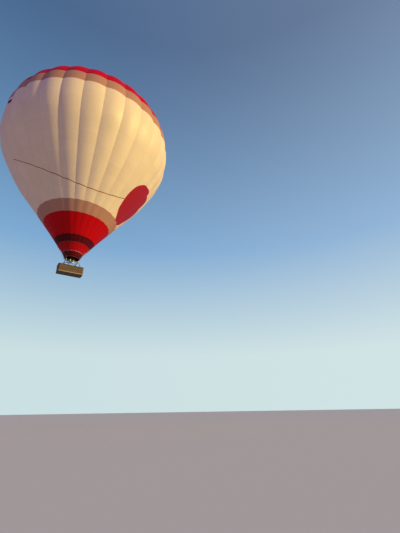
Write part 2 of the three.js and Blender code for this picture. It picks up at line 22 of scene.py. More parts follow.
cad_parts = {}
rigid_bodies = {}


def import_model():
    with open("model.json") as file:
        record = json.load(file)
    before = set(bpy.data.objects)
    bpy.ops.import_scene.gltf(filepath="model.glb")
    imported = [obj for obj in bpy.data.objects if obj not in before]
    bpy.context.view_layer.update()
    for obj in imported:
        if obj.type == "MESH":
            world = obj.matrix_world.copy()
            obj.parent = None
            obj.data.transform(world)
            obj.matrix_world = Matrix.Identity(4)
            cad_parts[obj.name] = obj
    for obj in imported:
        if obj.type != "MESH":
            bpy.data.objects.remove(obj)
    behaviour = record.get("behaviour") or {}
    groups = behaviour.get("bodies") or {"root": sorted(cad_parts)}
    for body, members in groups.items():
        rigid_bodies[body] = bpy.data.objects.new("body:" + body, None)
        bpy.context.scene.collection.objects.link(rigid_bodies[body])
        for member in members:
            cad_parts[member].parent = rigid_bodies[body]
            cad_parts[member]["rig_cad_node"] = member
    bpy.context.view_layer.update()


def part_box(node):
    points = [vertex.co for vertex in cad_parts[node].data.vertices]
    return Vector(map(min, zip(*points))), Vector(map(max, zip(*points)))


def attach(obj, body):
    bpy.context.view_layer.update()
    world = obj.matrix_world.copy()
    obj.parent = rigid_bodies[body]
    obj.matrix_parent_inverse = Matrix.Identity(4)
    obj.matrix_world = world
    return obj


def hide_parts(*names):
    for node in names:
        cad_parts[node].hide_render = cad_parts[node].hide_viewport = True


LOG = logging.getLogger("balloon")
PHOTO_SIZE = (400, 533)
TURN = 2 * math.pi
MERGE = 1e-5
Color = tuple[float, float, float, float]
Pairs = Sequence[tuple[float, float]]
Sockets = dict[str, object]


class Body(str, Enum):
    """The bodies of the frame that pieces ride on."""

    BALLOON = "balloon"
    VALVE = "valve"
    GIMBAL = "gimbal"
    BURNERS = "burners"


class Slot(str, Enum):
    """The record's material slots."""

    CREAM = "envelope_cloth"
    TAUPE = "taupe_cloth"
    RED = "red_cloth"
    DARK_RED = "dark_red_cloth"
    WEBBING = "webbing"
    ALUMINIUM = "aluminium"
    STEEL = "steel"
    BRIGHT = "bright_steel"
    LEATHER = "leather"
    PLYWOOD = "plywood"
    WICKER = "wicker"
    RAWHIDE = "rawhide"
    CYLINDER = "cylinder_metal"


def paint(code: int) -> Color:
    """Turns a colour written as 0xRRGGBB into linear light.

    Args:
        code: The display colour.

    Returns:
        The linear colour.
    """
    parts = [((code >> shift) & 255) / 255 for shift in (16, 8, 0)]
    red, green, blue = (c / 12.92 if c <= 0.04045 else ((c + 0.055) / 1.055) ** 2.4 for c in parts)
    return (red, green, blue, 1.0)


# Shader trees


class Recipe:
    """A node tree with short ways to add and join nodes."""

    def __init__(self, tree: bpy.types.NodeTree) -> None:
        """Keeps the tree.

        Args:
            tree: A material's tree or a group.
        """
        self.tree = tree

    def node(self, kind: str, **settings: object) -> bpy.types.Node:
        """Adds a node.

        Args:
            kind: The node's type name.
            **settings: Its properties.

        Returns:
            The node.
        """
        made = self.tree.nodes.new(kind)
        for name, value in settings.items():
            setattr(made, name, value)
        return made

    def feed(self, socket: bpy.types.NodeSocket, value: object) -> None:
        """Links a socket or sets its value.

        Args:
            socket: The input.
            value: Another node's output, or a plain value.
        """
        if isinstance(value, bpy.types.NodeSocket):
            self.tree.links.new(value, socket)
        else:
            socket.default_value = value

    def math(self, operation: str, a: object, b: object = 0.0, c: object = 0.0) -> bpy.types.NodeSocket:
        """Adds a math node.

        Args:
            operation: Its operation.
            a: The first value.
            b: The second value.
            c: The third value.

        Returns:
            The result.
        """
        made = self.node("ShaderNodeMath", operation=operation)
        for socket, value in zip(made.inputs, (a, b, c)):
            self.feed(socket, value)
        return made.outputs[0]

    def add(self, a: object, b: object) -> bpy.types.NodeSocket:
        """Adds two values."""
        return self.math("ADD", a, b)

    def less(self, a: object, b: object) -> bpy.types.NodeSocket:
        """Takes the second value from the first."""
        return self.math("SUBTRACT", a, b)

    def times(self, a: object, b: object) -> bpy.types.NodeSocket:
        """Multiplies two values."""
        return self.math("MULTIPLY", a, b)

    def level(self, value: object, swing: object, start: object) -> bpy.types.NodeSocket:
        """Scales a value and moves it up by a start."""
        return self.add(self.times(value, swing), start)

    def away(self, value: object, middle: object) -> bpy.types.NodeSocket:
        """Gives how far a value is from a middle."""
        return self.math("ABSOLUTE", self.less(value, middle))

    def vector(self, operation: str, a: object, b: object) -> bpy.types.NodeSocket:
        """Adds a vector math node.

        Args:
            operation: Its operation.
            a: The first vector.
            b: The second vector.

        Returns:
            The resulting vector.
        """
        made = self.node("ShaderNodeVectorMath", operation=operation)
        self.feed(made.inputs[0], a)
        self.feed(made.inputs[1], b)
        return made.outputs[0]

    def combine(self, x: object, y: object, z: object = 0.0) -> bpy.types.NodeSocket:
        """Makes a vector of three values.

        Args:
            x: The first value.
            y: The second value.
            z: The third value.

        Returns:
            The vector.
        """
        made = self.node("ShaderNodeCombineXYZ")
        for socket, value in zip(made.inputs, (x, y, z)):
            self.feed(socket, value)
        return made.outputs[0]

    def split(self, vector: object) -> list[bpy.types.NodeSocket]:
        """Takes a vector apart.

        Args:
            vector: The vector.

        Returns:
            Its three values.
        """
        made = self.node("ShaderNodeSeparateXYZ")
        self.feed(made.inputs[0], vector)
        return list(made.outputs)

    def place(self) -> bpy.types.NodeSocket:
        """Returns the object's own coordinates."""
        return self.node("ShaderNodeTexCoord").outputs["Object"]

    def uv(self, name: str) -> list[bpy.types.NodeSocket]:
        """Returns the values of a UV map."""
        return self.split(self.node("ShaderNodeUVMap", uv_map=name).outputs[0])

    def mix(self, share: object, a: object, b: object, blend: str = "MIX") -> bpy.types.NodeSocket:
        """Mixes two colours.

        Args:
            share: How much of the second.
            a: The first colour.
            b: The second colour.
            blend: The way they mix.

        Returns:
            The mixed colour.
        """
        made = self.node("ShaderNodeMix", data_type="RGBA", blend_type=blend)
        for index, value in ((0, share), (6, a), (7, b)):
            self.feed(made.inputs[index], value)
        return made.outputs[2]

    def shade(self, color: object, level: object) -> bpy.types.NodeSocket:
        """Multiplies a colour by a level."""
        return self.mix(1.0, color, self.combine(level, level, level), "MULTIPLY")

    def noise(self, vector: object, scale: float, detail: float = 3.0, rough: float = 0.55) -> bpy.types.NodeSocket:
        """Adds a noise texture.

        Args:
            vector: Where it is read.
            scale: Its scale.
            detail: Its detail.
            rough: Its roughness.

        Returns:
            The value, about 0.5 on average.
        """
        made = self.node("ShaderNodeTexNoise")
        for name, value in (("Vector", vector), ("Scale", scale), ("Detail", detail), ("Roughness", rough)):
            self.feed(made.inputs[name], value)
        return made.outputs["Fac"]

    def streaks(self, x: object, y: object, scales: tuple[float, float], detail: float) -> bpy.types.NodeSocket:
        """Adds noise with a scale of its own along each of two values."""
        return self.noise(self.combine(self.times(x, scales[0]), self.times(y, scales[1])), 1.0, detail)

    def ramp(self, value: object, low: float, high: float, to_low: float = 0.0,
             to_high: float = 1.0, smooth: bool = True) -> bpy.types.NodeSocket:
        """Maps a value between two limits.

        Args:
            value: The value.
            low: Where it starts.
            high: Where it ends.
            to_low: The result at the start.
            to_high: The result at the end.
            smooth: True for an eased step.

        Returns:
            The mapped value.
        """
        made = self.node("ShaderNodeMapRange", interpolation_type="SMOOTHSTEP" if smooth else "LINEAR")
        for socket, given in zip(made.inputs, (value, low, high, to_low, to_high)):
            self.feed(socket, given)
        return made.outputs[0]

    def bump(self, height: object, distance: float, strength: float = 1.0,
             normal: object = None) -> bpy.types.NodeSocket:
        """Adds a bump node.

        Args:
            height: The height, from 0 to 1.
            distance: How far 1 stands out, in metres.
            strength: Its strength.
            normal: A normal under it.

        Returns:
            The bumped normal.
        """
        made = self.node("ShaderNodeBump")
        for name, value in (("Strength", strength), ("Distance", distance), ("Height", height)):
            self.feed(made.inputs[name], value)
        if normal is not None:
            self.feed(made.inputs["Normal"], normal)
        return made.outputs[0]

    def group(self, name: str, **values: object) -> bpy.types.Node:
        """Places a shared group.

        Args:
            name: The group's name.
            **values: Its inputs, by name.

        Returns:
            The group node.
        """
        made = self.node("ShaderNodeGroup", node_tree=bpy.data.node_groups[name])
        for key, value in values.items():
            self.feed(made.inputs[key], value)
        return made

    def tones(self, color: object, place: object, scale: float, amount: float) -> bpy.types.NodeSocket:
        """Lays the shared soft patches over a colour."""
        return self.group("soft_tones", Color=color, Vector=place, Scale=scale, Amount=amount).outputs["Color"]

    def worn(self, color: object, bare: Color, place: object, amount: float) -> bpy.types.Node:
        """Lays the shared worn edges over a colour."""
        return self.group("worn_edges", Color=color, Worn=bare, Vector=place, Amount=amount)


def soft_tones(r: Recipe, start: bpy.types.Node) -> Sockets:
    """Makes a colour a little darker and lighter in soft patches.

    Args:
        r: The group's tree.
        start: Its inputs.

    Returns:
        The value of each output.
    """
    place = r.vector("SCALE", start.outputs["Vector"], (0, 0, 0))
    r.feed(place.node.inputs["Scale"], start.outputs["Scale"])
    patches = r.less(r.noise(place, 1.0, 4.0), 0.5)
    return {"Color": r.shade(start.outputs["Color"], r.level(patches, start.outputs["Amount"], 1.0))}


def tear_stop_threads(r: Recipe, start: bpy.types.Node) -> Sockets:
    """Makes crossing threads with a stronger one at every few, as on cloth that stops a tear.

    Args:
        r: The group's tree.
        start: Its inputs.

    Returns:
        The value of each output.
    """
    waves = []
    for along in r.split(start.outputs["Vector"])[:2]:
        count = r.times(along, start.outputs["Threads"])
        strong = r.ramp(r.math("PINGPONG", count, 4.0), 3.6, 4.0)
        waves.append(r.level(r.math("SINE", r.times(count, TURN)), 0.3, strong))
    return {"Height": r.add(*waves)}


def worn_edges(r: Recipe, start: bpy.types.Node) -> Sockets:
    """Finds the outer edges, broken up by noise.

    Args:
        r: The group's tree.
        start: Its inputs.

    Returns:
        The value of each output.
    """
    sharp = r.node("ShaderNodeNewGeometry").outputs["Pointiness"]
    broken = r.add(sharp, r.times(r.less(r.noise(start.outputs["Vector"], 40.0), 0.5), 0.06))
    mask = r.times(r.ramp(broken, 0.52, 0.6), start.outputs["Amount"])
    return {"Mask": mask, "Color": r.mix(mask, start.outputs["Color"], start.outputs["Worn"])}


def shared_group(build: Callable[[Recipe, bpy.types.Node], Sockets], inputs: dict[str, str],
                 outputs: dict[str, str]) -> None:
    """Builds a node group once, under its builder's name.

    Args:
        build: Makes the nodes and returns the value of each output.
        inputs: Each input's socket kind.
        outputs: Each output's socket kind.
    """
    tree = bpy.data.node_groups.new(build.__name__, "ShaderNodeTree")
    for side, sockets in (("INPUT", inputs), ("OUTPUT", outputs)):
        for label, kind in sockets.items():
            tree.interface.new_socket(label, in_out=side, socket_type=f"NodeSocket{kind}")
    recipe = Recipe(tree)
    results = build(recipe, recipe.node("NodeGroupInput"))
    end = recipe.node("NodeGroupOutput")
    for label, value in results.items():
        recipe.feed(end.inputs[label], value)


def build_groups() -> None:
    """Builds the effects that several finishes share."""
    shared_group(soft_tones, {"Color": "Color", "Vector": "Vector", "Scale": "Float", "Amount": "Float"},
                 {"Color": "Color"})
    shared_group(tear_stop_threads, {"Vector": "Vector", "Threads": "Float"}, {"Height": "Float"})
    shared_group(worn_edges, {"Color": "Color", "Worn": "Color", "Vector": "Vector", "Amount": "Float"},
                 {"Color": "Color", "Mask": "Float"})


# Finishes


@dataclass(frozen=True)
class Finish:
    """A finish: it makes its material once and hands it out."""

    name: str

    @cache
    def material(self) -> bpy.types.Material:
        """Returns the finish's material."""
        material = bpy.data.materials.new(self.name)
        material.use_nodes = True
        recipe = Recipe(material.node_tree)
        shader = material.node_tree.nodes["Principled BSDF"]
        for name, value in self.dress(recipe).items():
            recipe.feed(shader.inputs[name], value)
        return material

    def dress(self, r: Recipe) -> Sockets:
        """Builds the nodes.

        Args:
            r: The material's tree.

        Returns:
            What goes to the shader's inputs.
        """
        raise NotImplementedError


@dataclass(frozen=True)
class MattFinish(Finish):
    """One plain dull colour, for the floor under the balloon alone."""

    color: Color

    def dress(self, r: Recipe) -> Sockets:
        """Returns the colour and how dull it is."""
        return {"Base Color": self.color, "Roughness": 0.85, "Specular IOR Level": 0.0}


@dataclass(frozen=True)
class Emblem:
    """The plain oval on the envelope's cone and the thin stripe that runs to it, both in cloth coordinates."""

    gore: float
    along: float
    half_gores: float
    half_length: float
    stripe_from: float
    stripe_low_gore: float
    stripe_low: float
    stripe_rise: float
    stripe_width: float
    repeat: float
    oval_color: Color
    stripe_color: Color

    def oval(self, r: Recipe, across: object, along: object) -> bpy.types.NodeSocket:
        """Makes a mask that is one inside the oval.

        Args:
            r: The material's tree.
            across: The place in gores.
            along: The place up the cloth, in metres.

        Returns:
            The mask.
        """
        near_oval = r.math("WRAP", across, self.gore + self.repeat / 2, self.gore - self.repeat / 2)
        x = r.math("DIVIDE", r.less(near_oval, self.gore), self.half_gores)
        y = r.math("DIVIDE", r.less(along, self.along), self.half_length)
        return r.ramp(r.add(r.math("POWER", x, 2.0), r.math("POWER", y, 2.0)), 0.99, 1.0, 1.0, 0.0)

    def stripe(self, r: Recipe, across: object, along: object) -> bpy.types.NodeSocket:
        """Makes a mask that is one on the stripe.

        Args:
            r: The material's tree.
            across: The place in gores.
            along: The place up the cloth, in metres.

        Returns:
            The mask.
        """
        before_oval = r.math("WRAP", across, self.gore, self.gore - self.repeat)
        reach = r.less(before_oval, self.stripe_low_gore)
        line = r.level(r.math("POWER", reach, 2.0), self.stripe_rise, self.stripe_low)
        on_line = r.math("LESS_THAN", r.away(along, line), self.stripe_width / 2)
        return r.times(on_line, r.math("GREATER_THAN", before_oval, self.stripe_from))


@dataclass(frozen=True)
class ClothFinish(Finish):
    """Coated nylon in panels, with seams, puckers at the load tapes and fine threads."""

    color: Color
    roughness: float = 0.5
    panel: float = 1.5
    gore_width: float = 2.4
    tint: float = 0.05
    pucker: float = 0.03
    emblem: Emblem | None = None
    lower: Color | None = None
    lower_below: float = 0.0
    gloss: float = 0.07
    seam_color: Color = (0.35, 0.32, 0.32, 1)
    threads_per_metre: float = 160.0

    def dress(self, r: Recipe) -> Sockets:
        """Builds the cloth's nodes.

        Args:
            r: The material's tree.

        Returns:
            What goes to the shader's inputs.
        """
        place = r.place()
        across, along, _ = r.uv("cloth")
        row = r.math("DIVIDE", along, self.panel)
        chance = r.node("ShaderNodeTexWhiteNoise", noise_dimensions="3D")
        r.feed(chance.inputs["Vector"], r.combine(r.math("FLOOR", across), r.math("FLOOR", row)))
        color: object = self.color
        # Below a height the cloth takes a second colour; on the skirt this darker lower part is partly painted shade.
        if self.lower is not None:
            color = r.mix(r.math("LESS_THAN", r.split(place)[2], self.lower_below), color, self.lower)
        if self.emblem is not None:
            color = r.mix(self.emblem.stripe(r, across, along), color, self.emblem.stripe_color)
            color = r.mix(self.emblem.oval(r, across, along), color, self.emblem.oval_color)
        color = r.shade(color, r.level(r.less(chance.outputs[0], 0.5), self.tint, 1.0))
        color = r.tones(color, place, 0.35, 0.12)
        seam = r.ramp(r.away(r.math("FRACT", row), 0.5), 0.49, 0.497)
        color = r.mix(r.times(seam, 0.22), color, r.mix(1.0, color, self.seam_color, "MULTIPLY"))
        from_tape = r.times(r.math("PINGPONG", across, 0.5), self.gore_width)
        near_tape = r.math("POWER", r.ramp(from_tape, 0.0, 0.8, 1.0, 0.0), 2.0)
        folds = r.streaks(across, along, (2.0, 2.6), 2.0)
        loose = r.streaks(across, along, (3.0, 0.5), 2.0)
        normal = r.bump(r.add(r.times(near_tape, folds), r.times(loose, 0.5)), self.pucker)
        metres = r.combine(r.times(across, self.gore_width), along)
        threads = r.group("tear_stop_threads", Vector=metres, Threads=self.threads_per_metre).outputs["Height"]
        return {"Base Color": color,
                "Roughness": r.level(folds, 0.12, self.roughness - 0.06),
                "Normal": r.bump(threads, 0.0004, 0.35, r.bump(seam, 0.003, 0.6, normal)),
                "Specular IOR Level": self.gloss}


@dataclass(frozen=True)
class MetalFinish(Finish):
    """Metal with brushing, worn edges and, if asked, the straw and blue tints of heat."""

    color: Color
    roughness: float = 0.35
    metallic: float = 1.0
    wear: float = 0.5
    heat_from: float | None = None
    bare: Color = paint(0xD6D8DA)
    straw: Color = paint(0x8A6436)
    blue: Color = paint(0x3C4658)

    def dress(self, r: Recipe) -> Sockets:
        """Builds the metal's nodes.

        Args:
            r: The material's tree.

        Returns:
            What goes to the shader's inputs.
        """
        place = r.place()
        color = r.tones(self.color, place, 9.0, 0.25)
        if self.heat_from is not None:
            straw, blue, end = self.heat_from, self.heat_from + 0.2, self.heat_from + 0.36
            patchy = r.add(r.split(place)[2], r.times(r.less(r.noise(place, 14.0), 0.5), 0.2))
            color = r.mix(r.ramp(patchy, straw, blue), color, self.straw)
            color = r.mix(r.ramp(patchy, blue, end), color, self.blue)
        brushing = r.noise(r.vector("MULTIPLY", place, (260.0, 260.0, 12.0)), 1.0, 2.0)
        return {"Base Color": r.worn(color, self.bare, place, self.wear).outputs["Color"],
                "Roughness": r.level(brushing, 0.18, self.roughness - 0.09),
                "Normal": r.bump(brushing, 0.0003, 0.3),
                "Metallic": self.metallic}


@dataclass(frozen=True)
class LeatherFinish(Finish):
    """Padded leather or hide, with pebbled grain, creases and rubbed high places."""

    color: Color
    rubbed: Color
    roughness: float = 0.55
    grain: float = 260.0

    def dress(self, r: Recipe) -> Sockets:
        """Builds the leather's nodes.

        Args:
            r: The material's tree.

        Returns:
            What goes to the shader's inputs.
        """
        place = r.place()
        worn = r.worn(r.tones(self.color, place, 6.0, 0.5), self.rubbed, place, 0.7)
        pebbles = r.node("ShaderNodeTexVoronoi", feature="DISTANCE_TO_EDGE")
        r.feed(pebbles.inputs["Vector"], place)
        r.feed(pebbles.inputs["Scale"], self.grain)
        edges = r.ramp(pebbles.outputs["Distance"], 0.0, 0.18)
        creases = r.noise(place, 22.0, 5.0)
        dull = r.level(creases, 0.2, self.roughness - 0.1)
        return {"Base Color": worn.outputs["Color"],
                "Roughness": r.less(dull, r.times(worn.outputs["Mask"], 0.15)),
                "Normal": r.bump(edges, 0.0006, 0.6, r.bump(creases, 0.004, 0.5))}


@dataclass(frozen=True)
class WickerFinish(Finish):
    """Willow cane: each rod its own brown, with painted shade in the gaps where the cane lies back, and split grain
    along the rods.
    """

    color: Color
    pale: Color
    # Darkens the grain, and paints the shade in the gaps between the canes.
    dark: Color
    rod: float = 0.022

    def dress(self, r: Recipe) -> Sockets:
        """Builds the cane's nodes.

        Args:
            r: The material's tree.

        Returns:
            What goes to the shader's inputs.
        """
        along, up, _ = r.uv("weave")
        lot = r.streaks(along, r.math("FLOOR", r.math("DIVIDE", up, self.rod)), (0.9, 7.3), 1.0)
        fibre = r.streaks(along, up, (9.0, 700.0), 3.0)
        color = r.mix(r.ramp(lot, 0.3, 0.7), self.color, self.pale)
        color = r.tones(r.mix(r.times(fibre, 0.35), color, self.dark), r.place(), 1.6, 0.35)
        # Painted shade: the cane turns dark where it lies back from the wall's face, most of all in the gaps.
        proud = r.node("ShaderNodeAttribute", attribute_name="proud").outputs["Fac"]
        return {"Base Color": r.mix(r.ramp(proud, 0.0, 0.55, 0.85, 0.0), color, self.dark),
                "Roughness": r.level(fibre, 0.2, 0.5),
                "Normal": r.bump(fibre, 0.0012, 0.6),
                "Coat Weight": 0.12,
                "Coat Roughness": 0.35}


@dataclass(frozen=True)
class WoodFinish(Finish):
    """Sealed wood with grain along one axis and scuffed edges."""

    color: Color
    dark: Color
    stretch: tuple[float, float, float] = (1.2, 16.0, 16.0)
    wear: float = 0.6
    scuffed: Color = paint(0xC9B08A)

    def dress(self, r: Recipe) -> Sockets:
        """Builds the wood's nodes.

        Args:
            r: The material's tree.

        Returns:
            What goes to the shader's inputs.
        """
        place = r.place()
        grain = r.noise(r.vector("MULTIPLY", place, self.stretch), 3.0, 6.0, 0.65)
        color = r.mix(r.ramp(grain, 0.35, 0.7), self.color, self.dark)
        worn = r.worn(color, self.scuffed, place, self.wear).outputs["Color"]
        return {"Base Color": r.tones(worn, place, 2.0, 0.4),
                "Roughness": r.level(grain, 0.25, 0.42),
                "Normal": r.bump(grain, 0.001, 0.5)}


@dataclass(frozen=True)
class TapeFinish(Finish):
    """Woven load tape, dyed like the band of cloth that it is sewn on, with ribs and two rows of stitches."""

    base: Color
    bands: tuple[tuple[float, Color], ...] = ()
    emblem: Emblem | None = None
    ribs: int = 14
    stitches_per_metre: float = 90.0
    thread: Color = (0.8, 0.74, 0.66, 1)

    def dress(self, r: Recipe) -> Sockets:
        """Builds the tape's nodes.

        Args:
            r: The material's tree.

        Returns:
            What goes to the shader's inputs.
        """
        place = r.place()
        height = r.split(place)[2]
        color: object = self.base
        for start, band in self.bands:
            color = r.mix(r.math("GREATER_THAN", height, start), color, band)
        across, along, _ = r.uv("cloth")
        ribs = r.math("SINE", r.times(across, self.ribs * TURN))
        edge = r.away(r.away(r.math("FRACT", across), 0.5), 0.34)
        dash = r.math("GREATER_THAN", r.math("FRACT", r.times(along, self.stitches_per_metre)), 0.35)
        stitch = r.times(r.math("LESS_THAN", edge, 0.03), dash)
        if self.emblem is not None:
            color = r.mix(self.emblem.oval(r, r.math("FLOOR", across), along), color, self.emblem.oval_color)
        return {"Base Color": r.tones(r.mix(r.times(stitch, 0.12), color, self.thread), place, 1.5, 0.25),
                "Roughness": r.level(ribs, 0.06, 0.62),
                "Normal": r.bump(r.add(ribs, stitch), 0.0006, 0.6),
                "Specular IOR Level": 0.15}


@dataclass(frozen=True)
class CordFinish(Finish):
    """Laid rope, wire or lacing, with strands that twist along the piece's own length and painted shade in the
    grooves between them.
    """

    color: Color
    roughness: float = 0.6
    metallic: float = 0.0
    lay: float = 60.0
    hollow: Color = (0.45, 0.45, 0.45, 1)

    def dress(self, r: Recipe) -> Sockets:
        """Builds the strands' nodes.

        Args:
            r: The material's tree.

        Returns:
            What goes to the shader's inputs.
        """
        place = r.place()
        x, y, z = r.split(place)
        slant = r.add(r.add(x, y), r.times(z, 1.7))
        lift = r.ramp(r.math("SINE", r.times(slant, self.lay * TURN)), -1.0, 1.0)
        # Painted shade: the colour is darkened in the grooves between the strands.
        color = r.mix(r.times(lift, 0.5), r.mix(1.0, self.color, self.hollow, "MULTIPLY"), self.color)
        return {"Base Color": r.tones(color, place, 12.0, 0.4),
                "Roughness": r.level(lift, 0.15, self.roughness - 0.1),
                "Normal": r.bump(lift, 0.001, 0.6),
                "Metallic": self.metallic}


CREAM = paint(0xE9CDB4)
SKIRT_DARK_WITH_PAINTED_SHADE = paint(0x56040C)
OVAL_RED = paint(0xA8101D)
STRIPE_RED = paint(0x83392A)
TAPE_RED = paint(0xAE040E)
TAPE_TAUPE = paint(0xAA7C68)
TAPE_CREAM = paint(0xE2C8B0)
TAPE_BANDS = ((-17.1, TAPE_RED), (-14.55, TAPE_TAUPE), (-13.2, TAPE_CREAM), (1.3, TAPE_TAUPE), (3.2, TAPE_RED))

TAUPE_CLOTH = ClothFinish("grey_brown_cloth", paint(0xB4806E))
RED_CLOTH = ClothFinish("cone_and_crown_red", paint(0xBA020D))
MAROON_CLOTH = ClothFinish("maroon_mouth_cloth", paint(0x520611), gore_width=0.6, pucker=0.02)
CREAM_CLOTH = ClothFinish("cream_cloth", CREAM, gloss=0.3)
VALVE_CLOTH = ClothFinish("valve_cloth", paint(0xC0040F))
RED_TAPE = CordFinish("crown_tape", paint(0x6B1A1C), lay=90.0)
WIRE = CordFinish("stainless_wire", paint(0xA9ADB0), roughness=0.35, metallic=0.9, lay=120.0)
HIDE_LACE = CordFinish("hide_lacing", paint(0xC2A67E), roughness=0.65, lay=60.0)
LOOP_WEBBING = CordFinish("ring_loop_webbing", paint(0x3A1A1C), lay=160.0)
BLACK_WEBBING = CordFinish("black_webbing", paint(0x1E1D1E), lay=160.0)
STEEL = MetalFinish("brushed_steel_tube", paint(0x9A9EA3))
COATED_STEEL = MetalFinish("dark_red_coated_steel", paint(0x4A0C12), roughness=0.45, metallic=0.0, wear=0.1)
BRIGHT = MetalFinish("bright_fittings", paint(0xB8BCC0), roughness=0.25)
ALLOY = MetalFinish("turned_alloy", paint(0xB0B4B8), roughness=0.32)
PALE_CLIP = MetalFinish("pale_clips", paint(0xD9D2C6), metallic=0.0)
BRASS = MetalFinish("brass_valve", paint(0xA8864A), roughness=0.3)
CYLINDER_STEEL = MetalFinish("cylinder_steel", paint(0xAEB1B3), roughness=0.38)
PADDED = LeatherFinish("dark_padded_leather", paint(0x231C17), paint(0x4C3D30))
HIDE = LeatherFinish("pale_hide", paint(0x9F8463), paint(0xBDA27C), roughness=0.6, grain=180.0)
RED_GRIP = LeatherFinish("red_lever_grip", paint(0x9E1B1E), paint(0xC25A50), roughness=0.5, grain=300.0)
# The cane's third colour darkens its grain and paints the shade in the gaps.
WICKER = WickerFinish("willow_cane", paint(0x583E2B), paint(0x785943), paint(0x1B130E))
# The floor and runner woods are dark, and darker still as painted shade under the basket.
FLOOR_WOOD_WITH_PAINTED_SHADE = WoodFinish("floor_plywood_with_painted_shade", paint(0x1E1B19), paint(0x131110), wear=0.0)
RUNNER_WOOD_WITH_PAINTED_SHADE = WoodFinish("runner_hardwood_with_painted_shade", paint(0x37291D), paint(0x211710))
PALE_FLOOR = MattFinish("pale_floor", paint(0xC9CECA))


# Meshes


def new_object(name: str, data: bpy.types.ID) -> bpy.types.Object:
    """Adds an object to the scene.

    Args:
        name: Its name.
        data: Its mesh, curve, camera or light.

    Returns:
        The object.
    """
    made = bpy.data.objects.new(name, data)
    bpy.context.scene.collection.objects.link(made)
    return made


def to_mesh(name: str, bm: bmesh.types.BMesh, finish: Finish, outward: bool = True) -> bpy.types.Mesh:
    """Turns a bmesh into a mesh.

    Args:
        name: The mesh's name.
        bm: The bmesh, which is freed.
        finish: The mesh's finish.
        outward: True to turn the faces outwards first.

    Returns:
        The mesh.
    """
    bmesh.ops.remove_doubles(bm, verts=bm.verts, dist=MERGE)
    if outward:
        bmesh.ops.recalc_face_normals(bm, faces=bm.faces)
    mesh = bpy.data.meshes.new(name)
    bm.to_mesh(mesh)
    bm.free()
    mesh.materials.append(finish.material())
    return mesh


def place_piece(name: str, bm: bmesh.types.BMesh, finish: Finish, slot: Slot, node: str = "",
                body: Body = Body.BALLOON, fold: float = 35.0, outward: bool = True) -> bpy.types.Object:
    """Makes a bmesh a piece of the balloon.

    Args:
        name: The piece's name.
        bm: Its shape in the frame's own coordinates, which is freed.
        finish: Its finish.
        slot: The record's material slot; not used.
        node: The CAD node that it stands for, if there is one.
        body: What it rides on.
        fold: The angle in degrees past which an edge is sharp.
        outward: True to turn the faces outwards first.

    Returns:
        The piece.
    """
    mesh = to_mesh(name, bm, finish, outward)
    mesh.shade_smooth()
    mesh.set_sharp_from_angle(angle=math.radians(fold))
    piece = new_object(name, mesh)
    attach(piece, body.value)
    if node:
        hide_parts(node)
    LOG.info("%s: %d faces, rides on %s", name, len(mesh.polygons), body.value)
    return piece


def place_cloth(name: str, bm: bmesh.types.BMesh, thickness: float, finish: Finish, slot: Slot, node: str = "",
                body: Body = Body.BALLOON, fold: float = 15.0) -> bpy.types.Object:
    """Thickens cloth towards the upright axis and makes it a piece with sharp seams and hems.

    Args:
        name: The piece's name.
        bm: The cloth's outer skin, which is freed.
        thickness: Its thickness.
        finish: Its finish.
        slot: The record's material slot; handed on to place_piece, which does not use it.
        node: The CAD node that it stands for, if there is one.
        body: What it rides on.
        fold: The angle in degrees past which a fold at a seam is sharp.

    Returns:
        The piece.
    """
    bmesh.ops.remove_doubles(bm, verts=bm.verts, dist=MERGE)
    bmesh.ops.recalc_face_normals(bm, faces=bm.faces)
    bm.normal_update()
    if sum(face.normal.to_2d().dot(face.calc_center_median().to_2d()) for face in bm.faces) < 0:
        bmesh.ops.reverse_faces(bm, faces=bm.faces)
    bmesh.ops.solidify(bm, geom=bm.faces, thickness=thickness)
    return place_piece(name, bm, finish, slot, node, body, fold, outward=False)


def between(start: float, end: float, share: float) -> float:
    """Returns the value at a share of the way from a start to an end."""
    return start + (end - start) * share


def polar(turn: float, radius: float, height: float = 0.0) -> Vector:
    """Returns the point at an angle, a radius and a height."""
    return Vector((radius * math.cos(turn), radius * math.sin(turn), height))


def upwards(height: float) -> Vector:
    """Returns a step straight up."""
    return Vector((0, 0, height))


def beside(out: Vector) -> Vector:
    """Returns the level direction to the left of another."""
    return Vector((-out.y, out.x, 0))


def aligned(centre: Sequence[float], axis: Sequence[float]) -> Matrix:
    """Returns the move that takes an upright part to a centre and an axis."""
    return Matrix.Translation(centre) @ Vector(axis).to_track_quat("Z", "Y").to_matrix().to_4x4()


def circle(centre: Vector, radius: float, count: int, start: float = 0.0) -> list[Vector]:
    """Returns evenly spaced points of a level circle."""
    return [centre + polar(start + TURN * step / count, radius) for step in range(count)]


def sheet_grid(bm: bmesh.types.BMesh, columns: int, rows: int, place: Callable[[float, float], Vector],
               uv: Callable[[float, float], tuple[float, float]],
               layer: str = "cloth") -> dict[bmesh.types.BMVert, tuple[float, float]]:
    """Lays a grid and maps it onto a surface.

    Args:
        bm: Where the grid goes.
        columns: Its cells along the first way.
        rows: Its cells along the second way.
        place: The point for two shares from 0 to 1.
        uv: The UV for the same shares.
        layer: The UV map's name.

    Returns:
        The two shares of each vertex.
    """
    uv_layer = bm.loops.layers.uv.get(layer) or bm.loops.layers.uv.new(layer)
    verts = bmesh.ops.create_grid(bm, x_segments=columns, y_segments=rows, size=0.5)["verts"]
    shares = {vert: (vert.co.x + 0.5, vert.co.y + 0.5) for vert in verts}
    for face in {face for vert in verts for face in vert.link_faces}:
        for loop in face.loops:
            loop[uv_layer].uv = uv(*shares[loop.vert])
    for vert, share in shares.items():
        vert.co = place(*share)
    return shares


